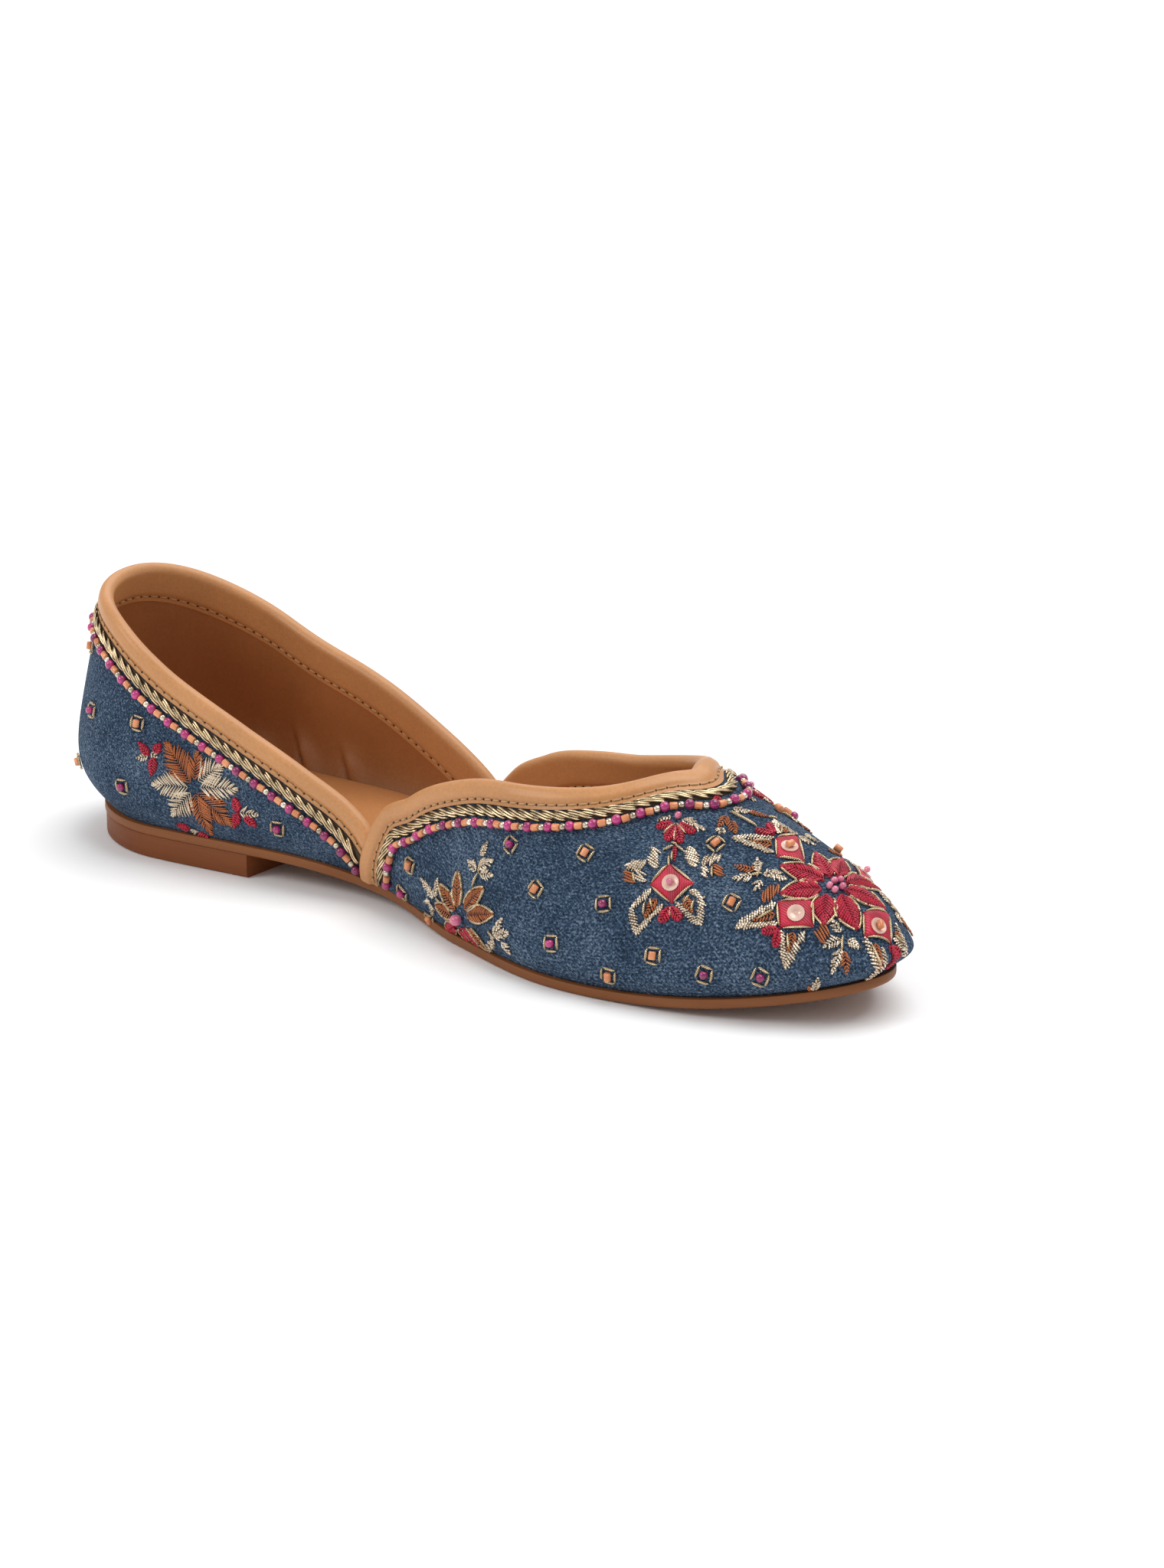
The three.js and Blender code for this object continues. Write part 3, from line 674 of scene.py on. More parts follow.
def leather(name, colour, dark, roughness, grain, coat=0.0):
    material, tree, shader = plain_material(name)
    skin = add_node(tree, "ShaderNodeGroup", node_tree=grain)
    connect(tree, skin, {"Vector": object_place(tree)})
    pores = skin.outputs["Pores"]
    tone = blend_colours(tree, ranged(tree, skin.outputs["Blotches"], 0.3, 0.7), dark, colour)
    connect(tree, shader, {
        "Base Color": shaded(tree, tone, ranged(tree, pores, 0.2, 1.0, 0.9, 1.05)),
        "Roughness": ranged(tree, pores, 0.2, 1.0, roughness - 0.06, roughness + 0.08),
        "Normal": bump(tree, pores, 0.25, 0.00008),
        "Specular IOR Level": 0.4,
        "Coat Weight": coat,
    })
    return material


# Noise cells per metre of the denim's threads, along and across the cloth, and its twill lines
WARP_CELLS = (900, 2600, 1)
WEFT_CELLS = (2600, 1000, 1)
TWILL_SCALE = 400.0
TWILL_TURN = 0.5


def denim_material(blue, pale):
    """Washed denim: dark and pale threads of warp and weft, fine twill lines and soft fading."""
    material, tree, shader = plain_material("washed denim")
    cloth, place = cloth_place(tree), object_place(tree)
    warp = noise(tree, stretched(tree, cloth, WARP_CELLS), 1.0, 2.0, 0.6)
    weft = noise(tree, stretched(tree, cloth, WEFT_CELLS), 1.0, 2.0, 0.6)
    twill = add_node(tree, "ShaderNodeTexWave",
                     {"Vector": stretched(tree, cloth, (1, 1, 1), TWILL_TURN), "Scale": TWILL_SCALE,
                      "Distortion": 1.6, "Detail": 2.0, "Detail Scale": 1.2}).outputs["Fac"]
    fade = noise(tree, place, 60, 3.0, 0.6)
    cloud = noise(tree, place, 1900, 3.0, 0.65)
    threads = weighed(tree, warp, 0.5, weft, 0.5)
    mottle = weighed(tree, threads, 0.55, cloud, 0.45)
    mottle = sums(tree, "ADD", mottle, ranged(tree, fade, 0.3, 0.7, -0.03, 0.03))
    tone = blend_colours(tree, ranged(tree, mottle, 0.41, 0.5), darker(blue, 0.34), blue)
    tone = blend_colours(tree, ranged(tree, mottle, 0.5, 0.63, 0.0, 0.85), tone, pale)
    connect(tree, shader, {
        "Base Color": shaded(tree, tone, ranged(tree, twill, 0.0, 1.0, 0.8, 1.14)),
        "Normal": bump(tree, weighed(tree, threads, 0.8, twill, 0.25), 0.6, 0.00022),
        "Roughness": 0.9,
        "Specular IOR Level": 0.15,
    })
    return material


def threaded(name, colour, dark, ribs, per_metre, slant, roughness, metallic=0.0, patches=260,
             flank_shade_strength=0.8):
    """Satin thread or wire: ribs and small patches shade the colour, and ribs raise the surface. On
    metal wire and zari the dark and light of ribs and patches is painted glint and dark reflection, on
    silk the thread's own tone. The sides of each tube get painted shade, darker than its top."""
    material, tree, shader = plain_material(name)
    cloth = cloth_place(tree)
    strands = add_node(tree, "ShaderNodeGroup", node_tree=ribs)
    connect(tree, strands, {"Vector": cloth, "Ribs per metre": per_metre, "Slant": slant})
    rib = strands.outputs["Ribs"]
    patchy = noise(tree, stretched(tree, cloth, (patches, 60, 1)), 1.0, 2.0)
    # On metal wire this dark to light tone is painted glint and dark reflection; on silk it is the
    # thread's own tone
    share = weighed(tree, rib, 0.3, patchy, 1.2)
    tone = blend_colours(tree, ranged(tree, share, 0.45, 0.9), dark, colour)
    # Painted shade: the farther round from the tube's top, the more the colour goes to a darker copy of
    # the dark tone
    around = add_node(tree, "ShaderNodeSeparateXYZ", {"Vector": cloth}).outputs["Y"]
    off_top = sums(tree, "ABSOLUTE", sums(tree, "SUBTRACT", around, TUBE_TOP * MM))
    painted_flank_shade = ranged(tree, off_top, 0.0008, 0.0032, 0.0, flank_shade_strength)
    connect(tree, shader, {
        "Base Color": blend_colours(tree, painted_flank_shade, tone, darker(dark, 0.5)),
        "Normal": bump(tree, rib, 0.8, 0.00012),
        "Roughness": roughness,
        "Metallic": metallic,
    })
    return material


def glass(name, colour, deep, roughness=0.12, metallic=0.0, coat=0.6):
    material, tree, shader = plain_material(name)
    vary = noise(tree, object_place(tree), 260, 1.0)
    connect(tree, shader, {
        "Base Color": blend_colours(tree, ranged(tree, vary, 0.35, 0.65), deep, colour),
        "Roughness": roughness,
        "Metallic": metallic,
        "Coat Weight": coat,
        "Coat Roughness": 0.08,
    })
    return material


def rubber(name, colour, dark, grain):
    material, tree, shader = plain_material(name)
    place = object_place(tree)
    skin = add_node(tree, "ShaderNodeGroup", node_tree=grain)
    connect(tree, skin, {"Vector": place, "Pores per metre": 900.0, "Blotches per metre": 30.0})
    streak = noise(tree, stretched(tree, place, (25, 25, 700)), 1.0, 3.0)
    share = weighed(tree, skin.outputs["Blotches"], 0.6, streak, 0.4)
    connect(tree, shader, {
        "Base Color": blend_colours(tree, ranged(tree, share, 0.35, 0.65), dark, colour),
        "Normal": bump(tree, skin.outputs["Pores"], 0.3, 0.0001),
        "Roughness": 0.5,
        "Specular IOR Level": 0.25,
    })
    return material


MATERIALS = {}


def darker(colour, share):
    """A colour times a share, or times a share for each of red, green and blue."""
    return tuple(float(part) for part in np.multiply(colour, share))


def make_materials(finish):
    """Every finish of the shoe, from the colours that the panel offers."""
    grain = grain_group()
    ribs = ribs_group()
    tan = tuple(finish.leather)
    blue = tuple(finish.denim)
    gold = tuple(finish.gold)
    MATERIALS.update({
        "binding": leather("binding leather", tan, darker(tan, 0.88), 0.42, grain, 0.1),
        # The lining is the binding's tan darkened: painted shade for the inside of the shoe
        "lining": leather("lining leather", darker(tan, (0.67, 0.57, 0.5)),
                          darker(tan, (0.58, 0.48, 0.4)), 0.5, grain),
        "insole": leather("insole leather", darker(tan, (0.86, 0.77, 0.68)),
                          darker(tan, (0.77, 0.68, 0.6)), 0.48, grain),
        # Each threaded finish paints shade on the sides of its tubes: most on the red, orange, braid and
        # bullion, less on the zari and cream, none on the sewing thread. On the braid, bullion and zari
        # the dark colour with the light one is painted dark reflection and glint.
        "sewing": threaded("sewing thread", (0.66, 0.42, 0.2), (0.4, 0.22, 0.09), ribs, 1500, 0.9, 0.5,
                           flank_shade_strength=0.0),
        # Dark discs where the needle goes through: painted shade of each needle hole
        "hole_shades": rubber("needle holes", (0.06, 0.028, 0.012), (0.04, 0.018, 0.008), grain),
        "denim": denim_material(blue, (0.21, 0.28, 0.36)),
        "sole": rubber("sole rubber", (0.25, 0.088, 0.027), (0.2, 0.068, 0.02), grain),
        "heel": rubber("heel rubber", (0.22, 0.062, 0.015), (0.17, 0.047, 0.011), grain),
        # The cord under the braid is near black: painted shade for the gaps between its wires
        "cord": rubber("cord ground", (0.07, 0.045, 0.022), (0.03, 0.02, 0.01), grain),
        "braid": threaded("braid wire", gold, darker(gold, 0.4), ribs, 300, 0.0, 0.24, 0.9, 120),
        "bullion": threaded("bullion wire", gold, darker(gold, 0.4), ribs, 2200, 0.2, 0.22, 0.9, 300),
        "zari": threaded("zari thread", (1.0, 0.86, 0.68), (0.22, 0.14, 0.07), ribs, 1700, 0.0, 0.28,
                         0.6, 500, 0.5),
        "red": threaded("red silk", (0.66, 0.014, 0.055), (0.2, 0.003, 0.014), ribs, 1400, 0.0, 0.45),
        "orange": threaded("orange silk", (0.62, 0.18, 0.046), (0.17, 0.04, 0.011), ribs, 2300, 0.0,
                           0.45),
        "cream": threaded("cream silk", (1.0, 0.86, 0.66), (0.3, 0.2, 0.12), ribs, 2000, 0.0, 0.4, 0.3,
                          flank_shade_strength=0.6),
        "magenta": glass("magenta glass", (0.55, 0.03, 0.2), (0.2, 0.008, 0.08)),
        "pink": glass("pink glass", (0.85, 0.28, 0.38), (0.58, 0.12, 0.22)),
        "peach": glass("peach glass", (0.8, 0.32, 0.14), (0.62, 0.21, 0.08), 0.25, 0.0, 0.4),
        "silver": glass("silvered glass", (0.86, 0.78, 0.64), (0.4, 0.32, 0.22), 0.14, 0.85),
        "sequin": glass("pearl sequin", (0.82, 0.62, 0.5), (0.7, 0.44, 0.36), 0.25, 0.1, 0.5),
    })


# Sole and insole

def add_plate(cloth, stations, layers, layer_point, columns=2, crown=0.0):
    """A plate given by edge layers from its bottom to its top, with its top face in columns."""
    near = np.stack([layer_point(stations, -1, layer) for layer in layers], 1)
    far = np.stack([layer_point(stations, 1, layer) for layer in reversed(layers)], 1)
    share = np.linspace(0, 1, columns + 1)[1:-1]
    top = near[:, -1:] + (far[:, :1] - near[:, -1:]) * share[None, :, None]
    top[..., 2] += crown * (1 - (2 * share - 1) ** 2)
    rings = np.concatenate([near, top, far], 1)
    rows, around = rings.shape[:2]
    a, b = ring_corners(rows, around)
    faces = np.stack([a, b, b + around, a + around], -1)[:, ::-1].tolist()
    faces.append(list(range(around)))
    faces.append([(rows - 1) * around + k for k in range(around - 1, -1, -1)])
    cloth.add(rings.reshape(-1, 3), faces, rings[..., :2].reshape(-1, 2))


# The rounded lower edge of sole and heel: how far in and how high each layer lies
ROUNDED_EDGE = [(0.7, 0), (0.42, 0.1), (0.2, 0.26), (0.05, 0.5), (0, 0.8)]


def make_sole():

    def outsole_point(station, side, layer):
        spot = plan_point(station, side, layer[0])
        return np.stack([spot[:, 0], spot[:, 1], sole_bottom(spot[:, 0]) + layer[1]], -1)

    layers = ROUNDED_EDGE + [(0, SOLE_THICKNESS - 0.3), (0.1, SOLE_THICKNESS - 0.08),
                             (0.3, SOLE_THICKNESS)]
    cloth = Cloth()
    add_plate(cloth, np.linspace(0, 1, 181), layers, outsole_point, 6)
    outsole = cloth.piece("outsole_sheet", MATERIALS["sole"], 40)
    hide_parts("outsole")

    def heel_point(station, side, layer):
        spot = plan_point(station, side, HEEL_LIFT_INSET + layer[0])
        x = np.minimum(spot[:, 0], HEEL_LENGTH)
        return np.stack([x, spot[:, 1], np.full_like(x, layer[1])], -1)

    layers = ROUNDED_EDGE + [(0, HEEL_LIFT_HEIGHT - 0.3), (0.2, HEEL_LIFT_HEIGHT)]
    cloth = Cloth()
    stations = np.linspace(0, float(station_at(HEEL_LENGTH / SOLE_LENGTH)), 61)
    add_plate(cloth, stations, layers, heel_point, 6)
    heel = cloth.piece("heel_block", MATERIALS["heel"], 40)
    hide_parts("heel_lift")
    return [outsole, heel]


# The insole's front is drawn in by so much under the dome of the toe, and its middle lies lower
TOE_DRAW = 3
INSOLE_DIP = 0.5


def make_insole():
    clear = SOLE_MARGIN + WALL + 4 * GAP

    def insole_point(station, side, layer):
        share = share_of_length(station)
        under_dome = TOE_DRAW * ease((share - 1 + TOE_DOME) / TOE_DOME)
        spot = np.stack([plan_point(at, side, clear + layer[0] + drawn)
                         for at, drawn in zip(station, under_dome)])
        height = np.full_like(share, max(layer[1] - GAP, 0))
        follow = barrel(height, share) * (1 - ease((share - 0.5) / 0.3))
        outward = plan_normal(station, np.full_like(share, side))
        spot = spot + outward * np.maximum(0, follow - GAP)[:, None]
        base = sole_top(plan_point(station, side, 0)[:, 0])
        return np.stack([spot[:, 0], spot[:, 1], base + layer[1]], -1)

    top = INSOLE_THICKNESS
    layers = [(0, GAP), (0, top - 1.5), (0.15, top - 0.9), (0.55, top - 0.35), (1.2, top - 0.08),
              (2, top)]
    cloth = Cloth()
    add_plate(cloth, np.linspace(0, 1, 121), layers, insole_point, 14, -INSOLE_DIP)
    pad = cloth.piece("insole_pad", MATERIALS["insole"], 60)
    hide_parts("insole")
    return [pad]


# Upper

# The cloth's lower edge lies this much above the sole's top, and the lining this far behind the denim
FOOT_GAP = 0.05
DENIM_THICKNESS = 0.85
LINING_START = 0.95

# Soft gathers of the lining low on the outer side, each from a spot to another: (along the length
# in mm, height in mm) at both ends, and how far it stands in
GATHERS = [
    (17, 8, 23, 4, 1.2),
    (33, 12, 38, 4, 2.0),
    (50, 11, 54, 4, 1.7),
]

# Across a gather, in mm: how far its fold lies beside the crease, the widths of both, and the depth of
# the crease as a share of the fold's. Along it, in shares: where it is highest and how far it reaches.
FOLD_SIDE = 2.2
FOLD_WIDTH = 2.6
CREASE_WIDTH = 0.8
CREASE_DEPTH = 0.9
FOLD_MIDDLE = 0.8
FOLD_REACH = 0.65


def quarter_grid(stations, rows):
    side = np.where(stations < 0, 1, -1)
    share = share_of_length(np.abs(stations))
    top = by_side(QUARTER_TOPLINE, "at", share, side) * COLLAR_HEIGHT
    down = np.linspace(1, 0, rows)[:, None]
    height = top[None] * down + FOOT_GAP
    station = np.broadcast_to(stations[None], height.shape)
    return np.stack([station, -across_at_height(station, height)], -1)


def vamp_grid(columns, rows):
    lean = np.linspace(-1, 1, columns)
    across = lean.copy()
    for _ in range(6):
        edge = vamp_spot(across)[:, 0]
        across = lean * across_at_height(edge, FOOT_GAP)
    start = vamp_spot(across)[:, 0]
    shares = np.linspace(0.9, 1, 4001)
    closing = float(np.interp(-SINK - FOOT_GAP, -crest_rise(shares), shares))
    tip = float(station_at(closing))
    run = np.linspace(0, 1, rows)[:, None]
    station = start[None] + (tip - start[None]) * (1 - (1 - run) ** 1.25)
    foot = across_at_height(station, FOOT_GAP)
    blend = np.clip(run / 0.06, 0, 1)
    row_across = lean[None] * foot * blend + across[None] * (1 - blend)
    return np.stack([station, np.broadcast_to(row_across, station.shape)], -1)


def make_upper():
    quarter = quarter_grid(np.linspace(-QUARTER_STATION, QUARTER_STATION, 260), 40)
    vamp = vamp_grid(150, 170)
    cloth = Cloth()
    for spots, lift in ((quarter, no_lift), (vamp, vamp_lift)):
        outside = face_point(spots, lift, 0)
        add_shell(cloth, outside, face_point(spots, lift, -DENIM_THICKNESS), measured(outside))
    denim = cloth.piece("denim_upper", MATERIALS["denim"], 60)
    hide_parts("upper")
    cloth = Cloth()
    for spots, lift in ((quarter, no_lift), (vamp, vamp_lift)):
        inside = face_point(spots, lift, -WALL - gathers(spots))
        add_shell(cloth, face_point(spots, lift, -LINING_START), inside, measured(inside))
    # Its finish is painted shade: the binding's tan darkened
    lining = cloth.piece("leather_lining", MATERIALS["lining"], 60)
    return [denim, lining]


def gathers(spots):
    """How far the lining's folds stand into the shoe at each spot of the upper."""
    places = places_at(spots)
    height = places[..., 2] - sole_top(places[..., 0])
    away = np.zeros(places.shape[:-1])
    for x0, h0, x1, h1, depth in GATHERS:
        start, run = np.array([x0, h0]), np.array([x1 - x0, h1 - h0])
        gap = np.stack([places[..., 0] - start[0], height - start[1]], -1)
        share = (gap * run).sum(-1) / (run @ run)
        off = (gap[..., 0] * run[1] - gap[..., 1] * run[0]) / np.linalg.norm(run)
        along = np.exp(-((share - FOLD_MIDDLE) / FOLD_REACH) ** 2)
        fold = np.exp(-((off + FOLD_SIDE) / FOLD_WIDTH) ** 2)
        ridge = fold - CREASE_DEPTH * np.exp(-(off / CREASE_WIDTH) ** 2)
        away += depth * ridge * along
    return np.where(places[..., 1] > 0, away, 0)


# Trim

QUARTER_RUN = (quarter_spot, -QUARTER_STATION * 0.998, QUARTER_STATION * 0.998, no_lift)
VAMP_RUN = (vamp_spot, -0.985, 0.985, vamp_lift)

# Seams: the pitch, how far each lies from the strip's cut edge, how high above the wall's two faces,
# and half sizes of stitch and of the dark disc that paints the shade in a needle hole
SEAM_PITCH = 2.8
OUTER_SEAM = 1.1
INNER_SEAM = 1.5
OUTER_SEAM_HEIGHT = 0.55
INNER_SEAM_HEIGHT = 0.58
STITCH_SIZE = (1.04, 0.27, 0.3)
HOLE_SHADE_SIZE = (0.26, 0.32, 0.1)

# Height of the folded leather: at its cut edge, how much it swells over what reach, and the groove
# that the seam presses into it, deep and half wide
EDGE_HEIGHT = 0.35
SWELL = 0.75
SWELL_REACH = 3.2
GROOVE_DEPTH = 0.28
GROOVE_WIDTH = 0.55

# How far the leather, on both faces, stands off the wall under it
BARE_GAP = 0.02

# The cord under the braid, in half sizes, coloured near black as painted shade for the gaps between
# the wires, and the strands over it, each of two wires that swing from one side of the cord to the other
# and rise over its middle
CORD_SIZE = (1.3, 0.4)
STRAND_LENGTH = 7.2
STRAND_PITCH = 3.5
STRAND_SWING = 0.95
STRAND_FOOT = 0.45
STRAND_RISE = 0.65
WIRE_OFFSET = 0.33
WIRE_SIZE = (0.27, 0.3)

# Beads of the string in their order: (glass, shape, half sizes, length of string, height)
STRING = [
    ("magenta", "round", (1.3, 1.3, 1.24), 2.1, 1.15),
    ("peach", "tube", (0.98, 0.94, 0.94), 1.98, 0.88),
    ("silver", "round", (1.0, 0.94, 0.94), 1.62, 0.88),
]
BEAD_SPACE = 0.06


def strip_rise(width, reach):
    """Height of the folded leather over the wall, thin at its cut edge and pressed in by the seam."""
    body = EDGE_HEIGHT + SWELL * ease((reach - width) / SWELL_REACH)
    groove = GROOVE_DEPTH * np.exp(-((width - reach + INNER_SEAM) / GROOVE_WIDTH) ** 2)
    return body - groove


def walked(spots, heading, width, reaches):
    """Rows of spots at growing reaches from an edge, each with its reach."""
    rows = [spots]
    for step in np.diff(reaches):
        rows.append(walk(rows[-1], heading, step * width))
    return list(zip(rows, reaches))[1:]


def add_binding(cloth, spots, lift):
    down, normal, width = into_upper(spots), normals_at(spots), mitre(spots)
    top, under = [], []
    outer = walked(spots, down, width, np.linspace(0, BINDING_OUTSIDE, 19))
    for places, reach in reversed(outer):
        top.append(face_point(places, lift, strip_rise(reach, BINDING_OUTSIDE)))
        under.append(face_point(places, lift, BARE_GAP))
    middle = face_point(spots, lift, -WALL / 2)
    high = WALL / 2 + strip_rise(0, BINDING_OUTSIDE)
    for turn in np.linspace(0, np.pi, 11):
        direction = normal * math.cos(turn) - down * math.sin(turn)
        top.append(middle + direction * (high + 0.12 * math.sin(turn)))
        under.append(middle + direction * (WALL / 2 + BARE_GAP))
    for places, reach in walked(spots, down, width, np.linspace(0, BINDING_INSIDE, 15)):
        top.append(face_point(places, lift, -WALL - strip_rise(reach, BINDING_INSIDE)))
        under.append(face_point(places, lift, -WALL - BARE_GAP))
    top, under = np.stack(top), np.stack(under)
    add_shell(cloth, top, under, measured(top))


def add_seam(threads, hole_shades, spots, lift, reach, depth, stitch):
    """Stitches along a binding, a distance from its edge, with a dark disc between each two as painted
    shade of a needle hole.
    """
    path = walk(spots, into_upper(spots), reach * mitre(spots))
    places = face_point(path, lift, depth)
    run = np.gradient(places, axis=0)
    up = normals_at(path) * (1 if depth > 0 else -1)
    length = run_length(places)
    wanted = np.arange(2, length[-1] - 2, SEAM_PITCH)
    for cloth, along, size in ((threads, wanted, STITCH_SIZE),
                               (hole_shades, wanted + SEAM_PITCH / 2, HOLE_SHADE_SIZE)):
        place, heading, top = [sampled(along, length, rows) for rows in (places, run, up)]
        copy_shape(cloth, (stitch[0] * np.array(size), stitch[1]), place, heading, top)


def make_bindings():
    stitch = modelled(thread_stitch)
    made = []
    threads, hole_shades = Cloth(), Cloth()
    for name, node, run in (("quarter_leather", "quarter_binding", QUARTER_RUN),
                            ("vamp_leather", "vamp_binding", VAMP_RUN)):
        spot_at, start, end, lift = run
        spots = even_path(spot_at, start, end, 0.9)
        cloth = Cloth()
        add_binding(cloth, spots, lift)
        strip = cloth.piece(name, MATERIALS["binding"], 60)
        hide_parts(node)
        for reach, depth in ((BINDING_OUTSIDE - OUTER_SEAM, OUTER_SEAM_HEIGHT),
                             (BINDING_INSIDE - INNER_SEAM, -WALL - INNER_SEAM_HEIGHT)):
            add_seam(threads, hole_shades, spots, lift, reach, depth, stitch)
        made.append(strip)
    seam = threads.piece("binding_stitches", MATERIALS["sewing"], 60)
    needle = hole_shades.piece("needle_hole_shades", MATERIALS["hole_shades"], 60)
    return made + [seam, needle]


def trim_line(run, reach, pitch, shown):
    """Places, headings and normals along a line beside the binding, where it lies above the sole."""
    spot_at, start, end, lift = run
    spots = even_path(spot_at, start, end, pitch)
    path = walk(spots, into_upper(spots), reach * mitre(spots))
    places = face_point(path, lift, 0)
    keep = places[:, 2] - sole_top(places[:, 0]) > shown
    keep &= np.abs(path[:, 1]) < 1
    if lift is no_lift:
        edge = vamp_spot(path[:, 1])[:, 0]
        keep &= np.abs(path[:, 0]) < np.abs(edge) - 0.002
    first, last = np.flatnonzero(keep)[[0, -1]]
    path, places = path[first:last + 1], places[first:last + 1]
    return places, unit(np.gradient(places, axis=0)), normals_at(path)


def make_braid():
    made = []
    for name, node, run in (("quarter_cord", "quarter_braid", QUARTER_RUN),
                            ("vamp_cord", "vamp_braid", VAMP_RUN)):
        places, heading, up = trim_line(run, BINDING_OUTSIDE + GAP + BRAID_WIDTH / 2 - 0.2, 0.5, 0.5)
        # A near-black cord under the wires, painted shade for the gaps between them
        gap_shade = Cloth()
        add_tubes(gap_shade, (places + up * 0.1)[None], up[None], *CORD_SIZE, 8, 1)
        length = run_length(places)
        begin = np.arange(0, length[-1] - STRAND_LENGTH, STRAND_PITCH)
        share = np.linspace(0, 1, 11)
        along = begin[:, None] + share * STRAND_LENGTH
        at, over, normal = [sampled(along, length, rows)
                            for rows in (places, np.cross(up, heading), up)]
        swing = STRAND_SWING * np.cos(np.pi * share)
        rise = STRAND_FOOT + STRAND_RISE * np.sin(np.pi * share)
        shade = 9.0 * np.arange(len(begin))[:, None]
        cloth = Cloth()
        for offset in (-WIRE_OFFSET, WIRE_OFFSET):
            paths = at + over * (swing + offset)[:, None] + normal * rise[:, None]
            add_tubes(cloth, paths, normal, *WIRE_SIZE, 6, 1, shade)
        cord = cloth.piece(name, MATERIALS["braid"], 80)
        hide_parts(node)
        base = gap_shade.piece(name + "_ground", MATERIALS["cord"], 80)
        made += [cord, base]
    return made


def make_beads():
    forms = {"round": modelled(round_bead), "tube": modelled(tube_bead)}
    clothes = {row[0]: Cloth() for row in STRING}
    chance = np.random.default_rng(5)
    for run in (QUARTER_RUN, VAMP_RUN):
        reach = BINDING_OUTSIDE + 2 * GAP + BRAID_WIDTH + BEAD_WIDTH / 2 - 0.3
        places, heading, up = trim_line(run, reach, 0.4, 1.2)
        length = run_length(places)
        at, count = 1.0, 0
        while at < length[-1] - 1:
            name, form, size, long, high = STRING[count % len(STRING)]
            shape = (forms[form][0] * np.array(size), forms[form][1])
            place, run_on, over = [sampled(at + long / 2, length, rows)
                                   for rows in (places, heading, up)]
            tilt = chance.normal(0, 0.09, 3)
            place = place + over * (high + chance.normal(0, 0.05))
            copy_shape(clothes[name], shape, place[None], (run_on + tilt)[None], over[None])
            at += long + BEAD_SPACE
            count += 1
    made = []
    for name, cloth in clothes.items():
        string = cloth.piece(name + "_string", MATERIALS[name], 60)
        made.append(string)
    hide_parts("quarter_beads")
    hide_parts("vamp_beads")
    return made


# Embroidery

# Alongs and acrosses below are thousandths of a spot. Twin is 0 for one alone, 1 for one on each side
# of the shoe and 2 for one on each side of the toe flower.

